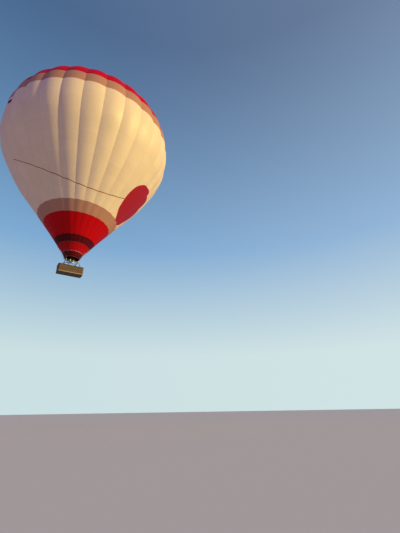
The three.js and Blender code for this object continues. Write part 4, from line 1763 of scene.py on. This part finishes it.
@dataclass
class BurnerSet:
    """The load frame, the gimbal frame in it, and the four burners on their block."""

    frame: FrameSize = FrameSize()
    bend: float = 0.05
    gimbal_x: float = 0.60
    gimbal_y: float = 0.45
    gimbal_tube: float = 0.018
    pin: float = 0.012
    bore: float = 0.0126
    boss: float = 0.030
    boss_length: float = 0.046
    boss_edge: float = 0.003
    lug: float = 0.0352
    lug_hole: float = 0.0208
    lug_stand: float = 0.034
    lug_foot: float = 0.056
    lug_half_thickness: float = 0.0052
    lug_edge: float = 0.0008
    block_x: float = 0.37
    block_y: float = 0.34
    bar: float = 0.030
    bar_edge: float = 0.002
    bolt_ring: float = 0.079
    burner_x: float = 0.19
    burner_y: float = 0.175
    coil: float = 0.1285
    coil_tube: float = 0.0106
    coil_turns: int = 14
    jet_ring: float = 0.066
    pipe: float = 0.009

    def build(self) -> None:
        """Makes the frames, the block and the burners."""
        centre = upwards(self.frame.height)
        burners = [centre + Vector((x * self.burner_x, y * self.burner_y, 0)) for x, y in CORNERS]
        self.load_frame()
        self.gimbal_frame()
        self.block(burners)
        for index, spot in enumerate(burners):
            self.burner(index + 1, spot + upwards(self.bar / 2 + 0.0003))
        self.controls()

    def rectangle(self, bm: bmesh.types.BMesh, half_x: float, half_y: float, tube: float) -> None:
        """Adds a level rectangle of round tube.

        Args:
            bm: Where it goes.
            half_x: Half its length.
            half_y: Half its width.
            tube: The tube's radius.
        """
        points = []
        for x, y, start in ((1, -1, -90), (1, 1, 0), (-1, 1, 90), (-1, -1, 180)):
            middle = Vector((x * (half_x - self.bend), y * (half_y - self.bend), self.frame.height))
            points += [middle + polar(math.radians(start + 90 * step / 8), self.bend) for step in range(9)]
        add_tube(bm, points, tube, fineness=4)

    def bosses(self, bm: bmesh.types.BMesh, axis: Vector, root: float, tube: float) -> None:
        """Adds the two bored bosses that hold a frame's pins.

        Args:
            bm: Where they go.
            axis: The direction of the pins.
            root: Half the frame's size that way.
            tube: The frame's tube radius.
        """
        inner, end = root - tube + 0.0042, root - tube - self.boss_length
        edge = self.boss_edge
        outline = [(0, root), (self.boss - edge, root), (self.boss, root - edge), (self.boss, end + edge),
                   (self.boss - edge, end), (self.bore, end), (self.bore, inner), (0, inner)]
        for side in (1, -1):
            add_turned(bm, outline, 32, (0, 0, self.frame.height), axis * side)

    def load_frame(self) -> None:
        """Makes the load frame with its bosses and lugs."""
        bm = bmesh.new()
        self.rectangle(bm, self.frame.half_x, self.frame.half_y, self.frame.tube)
        self.bosses(bm, Vector((1, 0, 0)), self.frame.half_x, self.frame.tube)
        for spot in self.frame.corners(self.frame.height + self.frame.tube + self.lug_stand):
            self.add_lug(bm, spot)
        place_piece("load_frame_tube", bm, STEEL, Slot.STEEL, "load_frame")

    def add_lug(self, bm: bmesh.types.BMesh, spot: Vector) -> None:
        """Adds a lug plate with a round hole.

        Args:
            bm: Where it goes.
            spot: The hole's middle.
        """
        curve = bpy.data.curves.new("lug", "CURVE")
        curve.dimensions = "2D"
        curve.fill_mode = "BOTH"
        curve.extrude = self.lug_half_thickness
        curve.bevel_depth = self.lug_edge
        plate = [polar(math.pi * step / 16, self.lug) for step in range(17)]
        plate += [Vector((-self.lug, -self.lug_foot, 0)), Vector((self.lug, -self.lug_foot, 0))]
        upright = Matrix.Translation(spot) @ Matrix.Rotation(math.radians(90), 4, "X")
        add_curve(bm, curve, [(plate, True), (circle(Vector(), self.lug_hole, 24), True)], upright)

    def gimbal_frame(self) -> None:
        """Makes the gimbal frame with its roll pins, collars and pitch bosses."""
        bm = bmesh.new()
        centre = upwards(self.frame.height)
        self.rectangle(bm, self.gimbal_x, self.gimbal_y, self.gimbal_tube)
        pin_end = self.frame.half_x - self.frame.tube
        collar = pin_end - self.boss_length - 0.006
        ring = [(self.pin, collar), (0.024, collar), (0.024, collar - 0.014), (self.pin, collar - 0.014),
                (self.pin, collar)]
        for side in (1, -1):
            out = Vector((side, 0, 0))
            rod(bm, centre + out * self.gimbal_x, centre + out * pin_end, self.pin, 20)
            add_turned(bm, ring, 28, centre, out)
        self.bosses(bm, Vector((0, 1, 0)), self.gimbal_y, self.gimbal_tube)
        place_piece("gimbal_frame_tube", bm, STEEL, Slot.STEEL, "gimbal_frame", Body.GIMBAL)

    def block(self, burners: Sequence[Vector]) -> None:
        """Makes the burner block of square bars, with a bolted pad under each burner and the pitch pins.

        Args:
            burners: The burners' places.
        """
        bm = bmesh.new()
        height, size = self.frame.height, self.bar
        for y in (-self.burner_y, self.burner_y):
            slab(bm, (2 * self.block_x, size, size), (0, y, height), self.bar_edge)
        for y in (-self.block_y, self.block_y):
            slab(bm, (2 * self.block_x + size, size, size), (0, y, height), self.bar_edge)
        for x in (-self.block_x, 0, self.block_x):
            slab(bm, (size, 2 * self.block_y, size - 0.001), (x, 0, height), self.bar_edge)
        pad = [(0, -0.015), (0.088, -0.015), (0.090, -0.013), (0.090, 0.013), (0.088, 0.015), (0, 0.015)]
        for spot in burners:
            add_turned(bm, pad, 40, spot)
            for bolt in circle(spot - upwards(0.015), self.bolt_ring, 6, 0.3):
                rod(bm, bolt, bolt - upwards(0.006), 0.006, 6)
        for side in (1, -1):
            rod(bm, Vector((0, side * (self.block_y - 0.01), height)),
                Vector((0, side * (self.gimbal_y - self.gimbal_tube), height)), self.pin, 20)
        place_piece("burner_block_bars", bm, STEEL, Slot.STEEL, "burner_block", Body.BURNERS)

    def burner(self, number: int, base: Vector) -> None:
        """Makes a burner: its foot, can, coil, jet ring and pilot cup.

        Args:
            number: Its number.
            base: The middle of its foot.
        """
        bm = bmesh.new()
        foot = [(0, 0), (0.068, 0), (0.070, 0.002), (0.070, 0.032), (0.066, 0.036), (0.044, 0.050), (0.042, 0.072),
                (0.060, 0.086), (0.110, 0.090), (0.110, 0.096), (0, 0.096)]
        can = [(0.109, 0.090), (0.111, 0.090), (0.111, 0.425), (0.114, 0.430), (0.109, 0.430), (0.109, 0.090)]
        plate = [(0, 0.150), (0.109, 0.150), (0.109, 0.154), (0, 0.154)]
        cup = [(0, 0.154), (0.018, 0.154), (0.018, 0.205), (0.014, 0.205), (0.014, 0.165), (0, 0.165)]
        for outline, steps in ((foot, 40), (can, 48), (plate, 40), (cup, 24)):
            add_turned(bm, outline, steps, base)
        per_turn = 26
        last = self.coil_turns * per_turn
        helix = [base + polar(TURN * step / per_turn, self.coil, between(0.104, 0.418, step / last))
                 for step in range(last + 1)]
        add_tube(bm, helix, self.coil_tube, closed=False, fineness=1)
        add_tube(bm, circle(base + upwards(0.172), self.jet_ring, 40), 0.009, fineness=1)
        for jet in circle(base + upwards(0.178), self.jet_ring, 16):
            rod(bm, jet, jet + upwards(0.014), 0.0036, 8, 0.0022)
        for leg in circle(base + upwards(0.154), self.jet_ring, 3, 0.5):
            rod(bm, leg, leg + upwards(0.02), 0.006, 8)
        finish = MetalFinish("heated_burner_steel", paint(0xA2A5A9), roughness=0.3, wear=0.3,
                             heat_from=base.z + 0.12)
        place_piece(f"coil_burner_{number}", bm, finish, Slot.BRIGHT, f"burner_{number}", Body.BURNERS)

    def controls(self) -> None:
        """Makes the gas pipes, the valves and their levers under the block."""
        brass, grips = bmesh.new(), bmesh.new()
        height, low = self.frame.height, self.frame.height - 0.034
        grip = [(0, -0.185), (0.009, -0.183), (0.0125, -0.165), (0.010, -0.11), (0.0125, -0.062), (0.009, -0.052),
                (0, -0.05)]
        add_tube(brass, [(0, -self.burner_y, low), (0, self.burner_y, low)], self.pipe, closed=False)
        for y in (-self.burner_y, self.burner_y):
            add_tube(brass, [(-self.burner_x, y, low), (self.burner_x, y, low)], self.pipe, closed=False)
            for x in (-self.burner_x, self.burner_x):
                rod(brass, Vector((x, y, height - 0.014)), Vector((x, y, low - 0.012)), 0.016, 6)
            slab(brass, (0.06, 0.044, 0.05), (0, y, low - 0.008), 0.006)
            for x in (-0.09, 0.09):
                slab(brass, (0.036, 0.034, 0.042), (x, y, low - 0.004), 0.005)
                rod(brass, Vector((x, y, low - 0.02)), Vector((x, y, low - 0.05)), 0.007, 12)
                add_turned(grips, grip, 20, (x, y, low))
        place_piece("gas_pipes_and_valves", brass, BRASS, Slot.BRIGHT, body=Body.BURNERS)
        place_piece("valve_lever_grips", grips, RED_GRIP, Slot.LEATHER, body=Body.BURNERS)


# Basket


@dataclass
class Weave:
    """Cane woven in and out of upright stakes."""

    rod: float = 0.024
    stake: float = 0.0748
    depth: float = 0.00672
    rounding: float = 0.0046
    lowest: float = 0.011
    under_top: float = 1e-5
    steps_per_stake: int = 4

    def relief(self, along: float, height: float, phase: float) -> float:
        """Gives how far the cane lies back from the wall's face.

        Args:
            along: The distance along the wall.
            height: The height above its foot.
            phase: A shift of the pattern, in half turns.

        Returns:
            The distance, zero or less.
        """
        row = math.floor(height / self.rod + 1e-6)
        share = (height / self.rod - row) * 2 - 1
        round_off = 1 - math.sqrt(max(0.0, 1 - min(1.0, abs(share)) ** 2))
        wave = math.cos(math.pi * (along / self.stake + row + phase))
        return -self.depth * (1 - wave) / 2 - self.rounding * round_off

    def wall(self, path: RoundedPath | StraightPath, start: float, end: float, bottom: float, height: float,
             thickness: float, out_by: float = 0.0) -> bmesh.types.BMesh:
        """Makes a closed woven wall with relief on both faces.

        Args:
            path: The line that the wall follows.
            start: Where it starts along the path.
            end: Where it ends.
            bottom: Its foot's height.
            height: Its own height.
            thickness: Its thickness.
            out_by: How far its outer face lies outside the path.

        Returns:
            The wall.
        """
        rods = round(height / self.rod)
        top = rods * self.rod
        heights = [(i + part) * self.rod for i in range(rods) for part in (0.0, 0.22, 0.5, 0.78)] + [top]
        section = [(0, h) for h in heights] + [(1, h) for h in reversed(heights)]
        columns = max(2, round((end - start) / self.stake * self.steps_per_stake))
        in_last_row = top - self.under_top
        rings, proud = [], []
        for column in range(columns + 1):
            along = between(start, end, column / columns)
            spot, out = path.at(along)
            ring = []
            depths = [self.relief(along, min(h, in_last_row), side) for side, h in section]
            for (side, h), sunk in zip(section, depths):
                offset = out_by + sunk if side == 0 else out_by - thickness - sunk
                ring.append(spot + out * offset + upwards(bottom + h * height / top))
            rings.append(ring)
            # How proud each point stands; the cane finish turns low values into painted shade in the gaps.
            proud.append([1 + sunk / self.lowest for sunk in depths])
        skin = loft(rings, False, lambda a, b: (
            between(start, end, a), section[round(b * len(section)) % len(section)][1]), proud)
        # The cut ends of the canes show no weave.
        layer = skin.loops.layers.uv["weave"]
        for face in skin.faces:
            if len(face.verts) == len(section):
                for loop in face.loops:
                    loop[layer].uv = (0, 0)
        return skin


@dataclass
class Basket:
    """The wicker basket with its padded rim, hide edge, floor, runners, partitions and gas cylinders."""

    half_x: float = 1.70
    half_y: float = 0.725
    corner: float = 0.16
    wall: float = 0.035
    wall_bottom: float = -22.1294
    wall_height: float = 1.010
    gap: float = 0.0003
    rim_middle: float = -21.0741
    rim_height: float = 0.090
    rim_width: float = 0.096
    rim_squareness: float = 2.8
    rim_steps: int = 540
    rim_straps: int = 36
    lace: float = 0.0028
    strip_bottom: float = -22.1547
    strip_height: float = 0.110
    strip_thickness: float = 0.009
    strip_stand: float = 0.0093
    strip_steps: int = 960
    stitch: float = 0.06
    stitch_cord: float = 0.0032
    runners: int = 3
    runner_bolts: int = 9
    partition: float = 0.030
    partition_height: float = 0.900
    roll_half_width: float = 0.035
    roll_half_height: float = 0.030
    cross_x: float = 0.47
    cylinder_x: float = 0.30
    cylinder_y: float = 0.535
    weave: Weave = field(default_factory=Weave)

    @property
    def path(self) -> RoundedPath:
        """Returns the line of the walls' outer faces."""
        return RoundedPath(self.half_x, self.half_y, self.corner)

    def build(self) -> None:
        """Makes the basket."""
        self.walls()
        self.rim()
        self.edge_strip()
        self.floor()
        self.partitions()
        self.cylinders()

    def walls(self) -> None:
        """Makes the two woven sides and the two woven ends with their round corners."""
        long, bend, short = self.path.sides
        end = 2 * bend + short
        names = ("side_front", "end_right", "side_back", "end_left")
        starts = (0.0, long, long + end, 2 * long + end, self.path.length)
        for name, start, stop in zip(names, starts, starts[1:]):
            wall = self.weave.wall(self.path, start + self.gap, stop - self.gap, self.wall_bottom, self.wall_height,
                                   self.wall)
            place_piece(f"wicker_{name}", wall, WICKER, Slot.WICKER, f"basket_{name}", fold=75.0)

    def rim_section(self, count: int, pull: float) -> list[tuple[float, float]]:
        """Lists the rim's section, a rounded square.

        Args:
            count: Its points.
            pull: Its size as a share of the full one.

        Returns:
            Offset and height pairs.
        """
        power = self.rim_squareness
        points = []
        for arm in circle(Vector(), 1, count):
            reach = pull * (abs(arm.x) ** power + abs(arm.y) ** power) ** (-1 / power)
            points.append((self.rim_width / 2 * reach * arm.x,
                           self.rim_middle + self.rim_height / 2 * reach * arm.y))
        return points

    def rim_pull(self, along: float, spacing: float) -> float:
        """Returns how far the lacing and the leather's own folds pull the rim in."""
        away = abs((along / spacing + 0.5) % 1.0 - 0.5) * spacing
        return 1 - 0.085 * math.exp(-(away / 0.018) ** 2) - 0.012 * math.sin(along * 31) ** 2

    def rim(self) -> None:
        """Makes the padded leather rim and the lacing that goes round it."""
        path = self.path.grown(-self.wall / 2)
        spacing = path.length / self.rim_straps
        skin = swept(path, self.rim_steps, lambda along: self.rim_section(28, self.rim_pull(along, spacing)))
        piece = place_piece("padded_rim", skin, PADDED, Slot.LEATHER, "basket_rim", fold=60.0)
        laces = bmesh.new()
        for index in range(self.rim_straps):
            spot, out = path.at(index * spacing)
            points = [spot + out * offset + upwards(height) for offset, height in self.rim_section(24, 0.95)]
            for shift in (-0.005, 0.0, 0.005):
                add_tube(laces, [point + beside(out) * shift for point in points], self.lace, fineness=1)
        place_piece("rim_lacing", laces, HIDE_LACE, Slot.RAWHIDE)

    def strip_section(self, along: float) -> list[tuple[float, float]]:
        """Lists the hide strip's section, whose upper edge puckers between the stitches.

        Args:
            along: The distance along the strip.

        Returns:
            Offset and height pairs.
        """
        thick, low, high = self.strip_thickness, self.strip_bottom, self.strip_bottom + self.strip_height
        pucker = 0.0012 * math.sin(along * TURN / self.stitch)
        return [(-thick, low), (-0.0025, low), (-0.0002, low + 0.004), (0.0, low + 0.03), (0.0, high - 0.03),
                (-0.0004, high - 0.010 + pucker), (-0.003, high - 0.001 + pucker), (-thick, high - 0.002 + pucker)]

    def edge_strip(self) -> None:
        """Makes the pale hide strip round the foot of the walls, with its stitches."""
        path = self.path.grown(self.strip_stand)
        high = self.strip_bottom + self.strip_height
        strip = swept(path, self.strip_steps, self.strip_section)
        place_piece("hide_edge", strip, HIDE, Slot.RAWHIDE, "basket_edge_strip", fold=50.0)
        bm = bmesh.new()
        count = round(path.length / self.stitch)
        for index in range(count):
            along = path.length * index / count
            (spot, out), (nearby, _) = path.at(along), path.at(along + 0.022)
            rod(bm, spot + out * 0.0006 + upwards(high - 0.020), nearby - out * 0.0045 + upwards(high + 0.014),
                self.stitch_cord, 8)
        place_piece("edge_stitches", bm, HIDE_LACE, Slot.RAWHIDE)

    def floor(self) -> None:
        """Gives the floor its dark wood, darker still as painted shade under the basket, and makes the runners under
        it, whose dark wood is partly painted shade too.
        """
        floor = next(piece for piece in bpy.data.objects if piece.get("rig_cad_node") == "basket_floor")
        for place in floor.material_slots:
            # The floor's very dark colour is partly painted shade under the basket.
            place.material = FLOOR_WOOD_WITH_PAINTED_SHADE.material()
        for number in range(1, self.runners + 1):
            low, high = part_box(f"skid_{number}")
            middle = (low + high) / 2
            bm = bmesh.new()
            slab(bm, high - low, middle, 0.006)
            for step in range(self.runner_bolts):
                share = (step + 0.5) / self.runner_bolts
                bolt = Vector((between(low.x, high.x, share), middle.y, low.z))
                rod(bm, bolt + upwards(0.001), bolt - upwards(0.0005), 0.011, 16)
            place_piece(f"runner_{number}", bm, RUNNER_WOOD_WITH_PAINTED_SHADE, Slot.PLYWOOD, f"skid_{number}")

    def partitions(self) -> None:
        """Makes the woven partitions and the padded rolls on top of them."""
        end_x, end_y = self.half_x - self.wall - self.gap, self.half_y - self.wall - self.gap
        side = self.cross_x + self.roll_half_width + self.gap
        runs = {
            "cross_1": StraightPath((-self.cross_x, -end_y), (-self.cross_x, end_y)),
            "cross_2": StraightPath((self.cross_x, -end_y), (self.cross_x, end_y)),
            "long_1": StraightPath((-end_x, 0), (-side, 0)),
            "long_2": StraightPath((side, 0), (end_x, 0)),
        }
        for name, path in runs.items():
            wall = self.weave.wall(path, 0.0, path.length, self.wall_bottom, self.partition_height, self.partition,
                                   self.partition / 2)
            place_piece(f"woven_{name}", wall, WICKER, Slot.WICKER, f"partition_{name}", fold=75.0)
            piece = place_piece(f"padded_roll_{name}", self.roll(path), PADDED, Slot.LEATHER, fold=60.0)

    def roll(self, path: StraightPath) -> bmesh.types.BMesh:
        """Makes the padded roll along a partition's top, drawn in at its ties and its ends.

        Args:
            path: The partition's line.

        Returns:
            The roll.
        """
        rows, sides = 72, 20
        middle = self.wall_bottom + self.partition_height
        rings = []
        for row in range(rows + 1):
            along = row / rows * path.length
            spot, out = path.at(along)
            close = min(1.0, 0.55 + min(along, path.length - along) / 0.03 * 0.45)
            pull = close * (1 - 0.07 * math.exp(-((along / 0.2 % 1.0 - 0.5) / 0.08) ** 2))
            rings.append([spot + out * (self.roll_half_width * pull * arm.x) + upwards(
                middle + self.roll_half_height * pull * arm.y) for arm in circle(Vector(), 1, sides)])
        return loft(rings, False, lambda a, b: (b, a))

    def cylinders(self) -> None:
        """Makes the gas cylinders, their valves and their straps."""
        body = [(0, 0), (0.118, 0), (0.120, 0.002), (0.120, 0.030), (0.135, 0.038), (0.146, 0.050), (0.150, 0.066),
                (0.150, 0.612), (0.147, 0.634), (0.138, 0.650), (0.122, 0.662), (0.092, 0.672), (0.090, 0.676),
                (0.090, 0.782), (0.088, 0.785), (0.077, 0.785), (0.075, 0.782), (0.075, 0.680), (0, 0.680)]
        valve = [(0, 0.680), (0.022, 0.682), (0.022, 0.700), (0.013, 0.704), (0.013, 0.722), (0.020, 0.724),
                 (0.020, 0.734), (0.007, 0.736), (0.007, 0.744), (0.030, 0.746), (0.032, 0.752), (0.030, 0.757),
                 (0, 0.758)]
        straps, valves = bmesh.new(), bmesh.new()
        for number, (x, y) in enumerate(CORNERS, 1):
            spot = Vector((x * self.cylinder_x, y * self.cylinder_y, self.wall_bottom))
            cylinder = bmesh.new()
            add_turned(cylinder, body, 64, spot)
            place_piece(f"steel_cylinder_{number}", cylinder, CYLINDER_STEEL, Slot.CYLINDER,
                        f"gas_cylinder_{number}")
            add_turned(valves, valve, 28, spot)
            for height in (0.20, 0.50):
                middle = spot + upwards(height)
                strap_ring(straps, middle, (0, 0, 1), 0.1504, 0.045, 0.0025, 64)
                slab(straps, (0.05, 0.012, 0.055), middle - Vector((0, y * 0.156, 0)), 0.003)
        place_piece("cylinder_valves", valves, BRASS, Slot.BRIGHT)
        place_piece("cylinder_straps", straps, BLACK_WEBBING, Slot.WEBBING)


@dataclass
class Uprights:
    """The padded uprights that carry the load frame over the basket."""

    frame: FrameSize = FrameSize()
    top: float = -20.2743
    foot: float = -21.0288
    foot_y: float = 0.7075
    outer_foot: float = 1.16
    inner_foot: float = 0.40
    radius: float = 0.034
    cover_end: float = 0.95
    straps_at: tuple[float, ...] = (0.05, 0.36, 0.66)

    def build(self) -> None:
        """Makes the covers, the sockets at their tops and the straps round them."""
        straps, sockets = bmesh.new(), bmesh.new()
        socket = [(0, 0), (0.043, 0), (0.046, -0.003), (0.046, -0.087), (0.043, -0.090), (0, -0.090)]
        for number, ((x, y), head) in enumerate(zip(CORNERS, self.frame.corners(self.top)), 1):
            covers = bmesh.new()
            for foot_x in (self.outer_foot, self.inner_foot):
                foot = Vector((x * foot_x, y * self.foot_y, self.foot))
                join(covers, self.cover(foot, foot.lerp(head, self.cover_end)))
                for share in self.straps_at:
                    strap_ring(straps, foot.lerp(head, share), head - foot, self.radius + 0.0002, 0.026, 0.0025, 24)
            piece = place_piece(f"upright_covers_{number}", covers, PADDED, Slot.LEATHER, f"uprights_{number}",
                                fold=60.0)
            add_turned(sockets, socket, 32, head)
        place_piece("upright_sockets", sockets, STEEL, Slot.STEEL)
        place_piece("upright_straps", straps, BLACK_WEBBING, Slot.WEBBING)

    def cover(self, foot: Vector, head: Vector) -> bmesh.types.BMesh:
        """Makes one padded leg, drawn in at its straps and its ends.

        Args:
            foot: Its foot.
            head: Its top.

        Returns:
            The leg.
        """
        rows, sides = 60, 20
        rings = []
        for row in range(rows + 1):
            share = row / rows
            swell = 1 - 0.10 * math.exp(-(min(share, 1 - share) / 0.03) ** 2)
            swell -= sum(0.07 * math.exp(-((share - strap) / 0.02) ** 2) for strap in self.straps_at)
            turns = [TURN * step / sides for step in range(sides)]
            rings.append([foot.lerp(head, share) + polar(turn, self.radius * (
                swell + 0.015 * math.sin(share * 55 + turn))) for turn in turns])
        return loft(rings, False, lambda a, b: (b, a))


def main() -> None:
    """Builds every part of the balloon in order."""
    logging.basicConfig(level=logging.INFO, format="%(name)s: %(message)s")
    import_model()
    view = View()
    view.build()
    Studio().build(view)
    build_groups()
    envelope = Envelope()
    envelope.build()
    Skirt().build()
    Rigging(envelope.shape.gores).build()
    BurnerSet().build()
    Uprights().build()
    Basket().build()


if __name__ == "__main__":
    main()
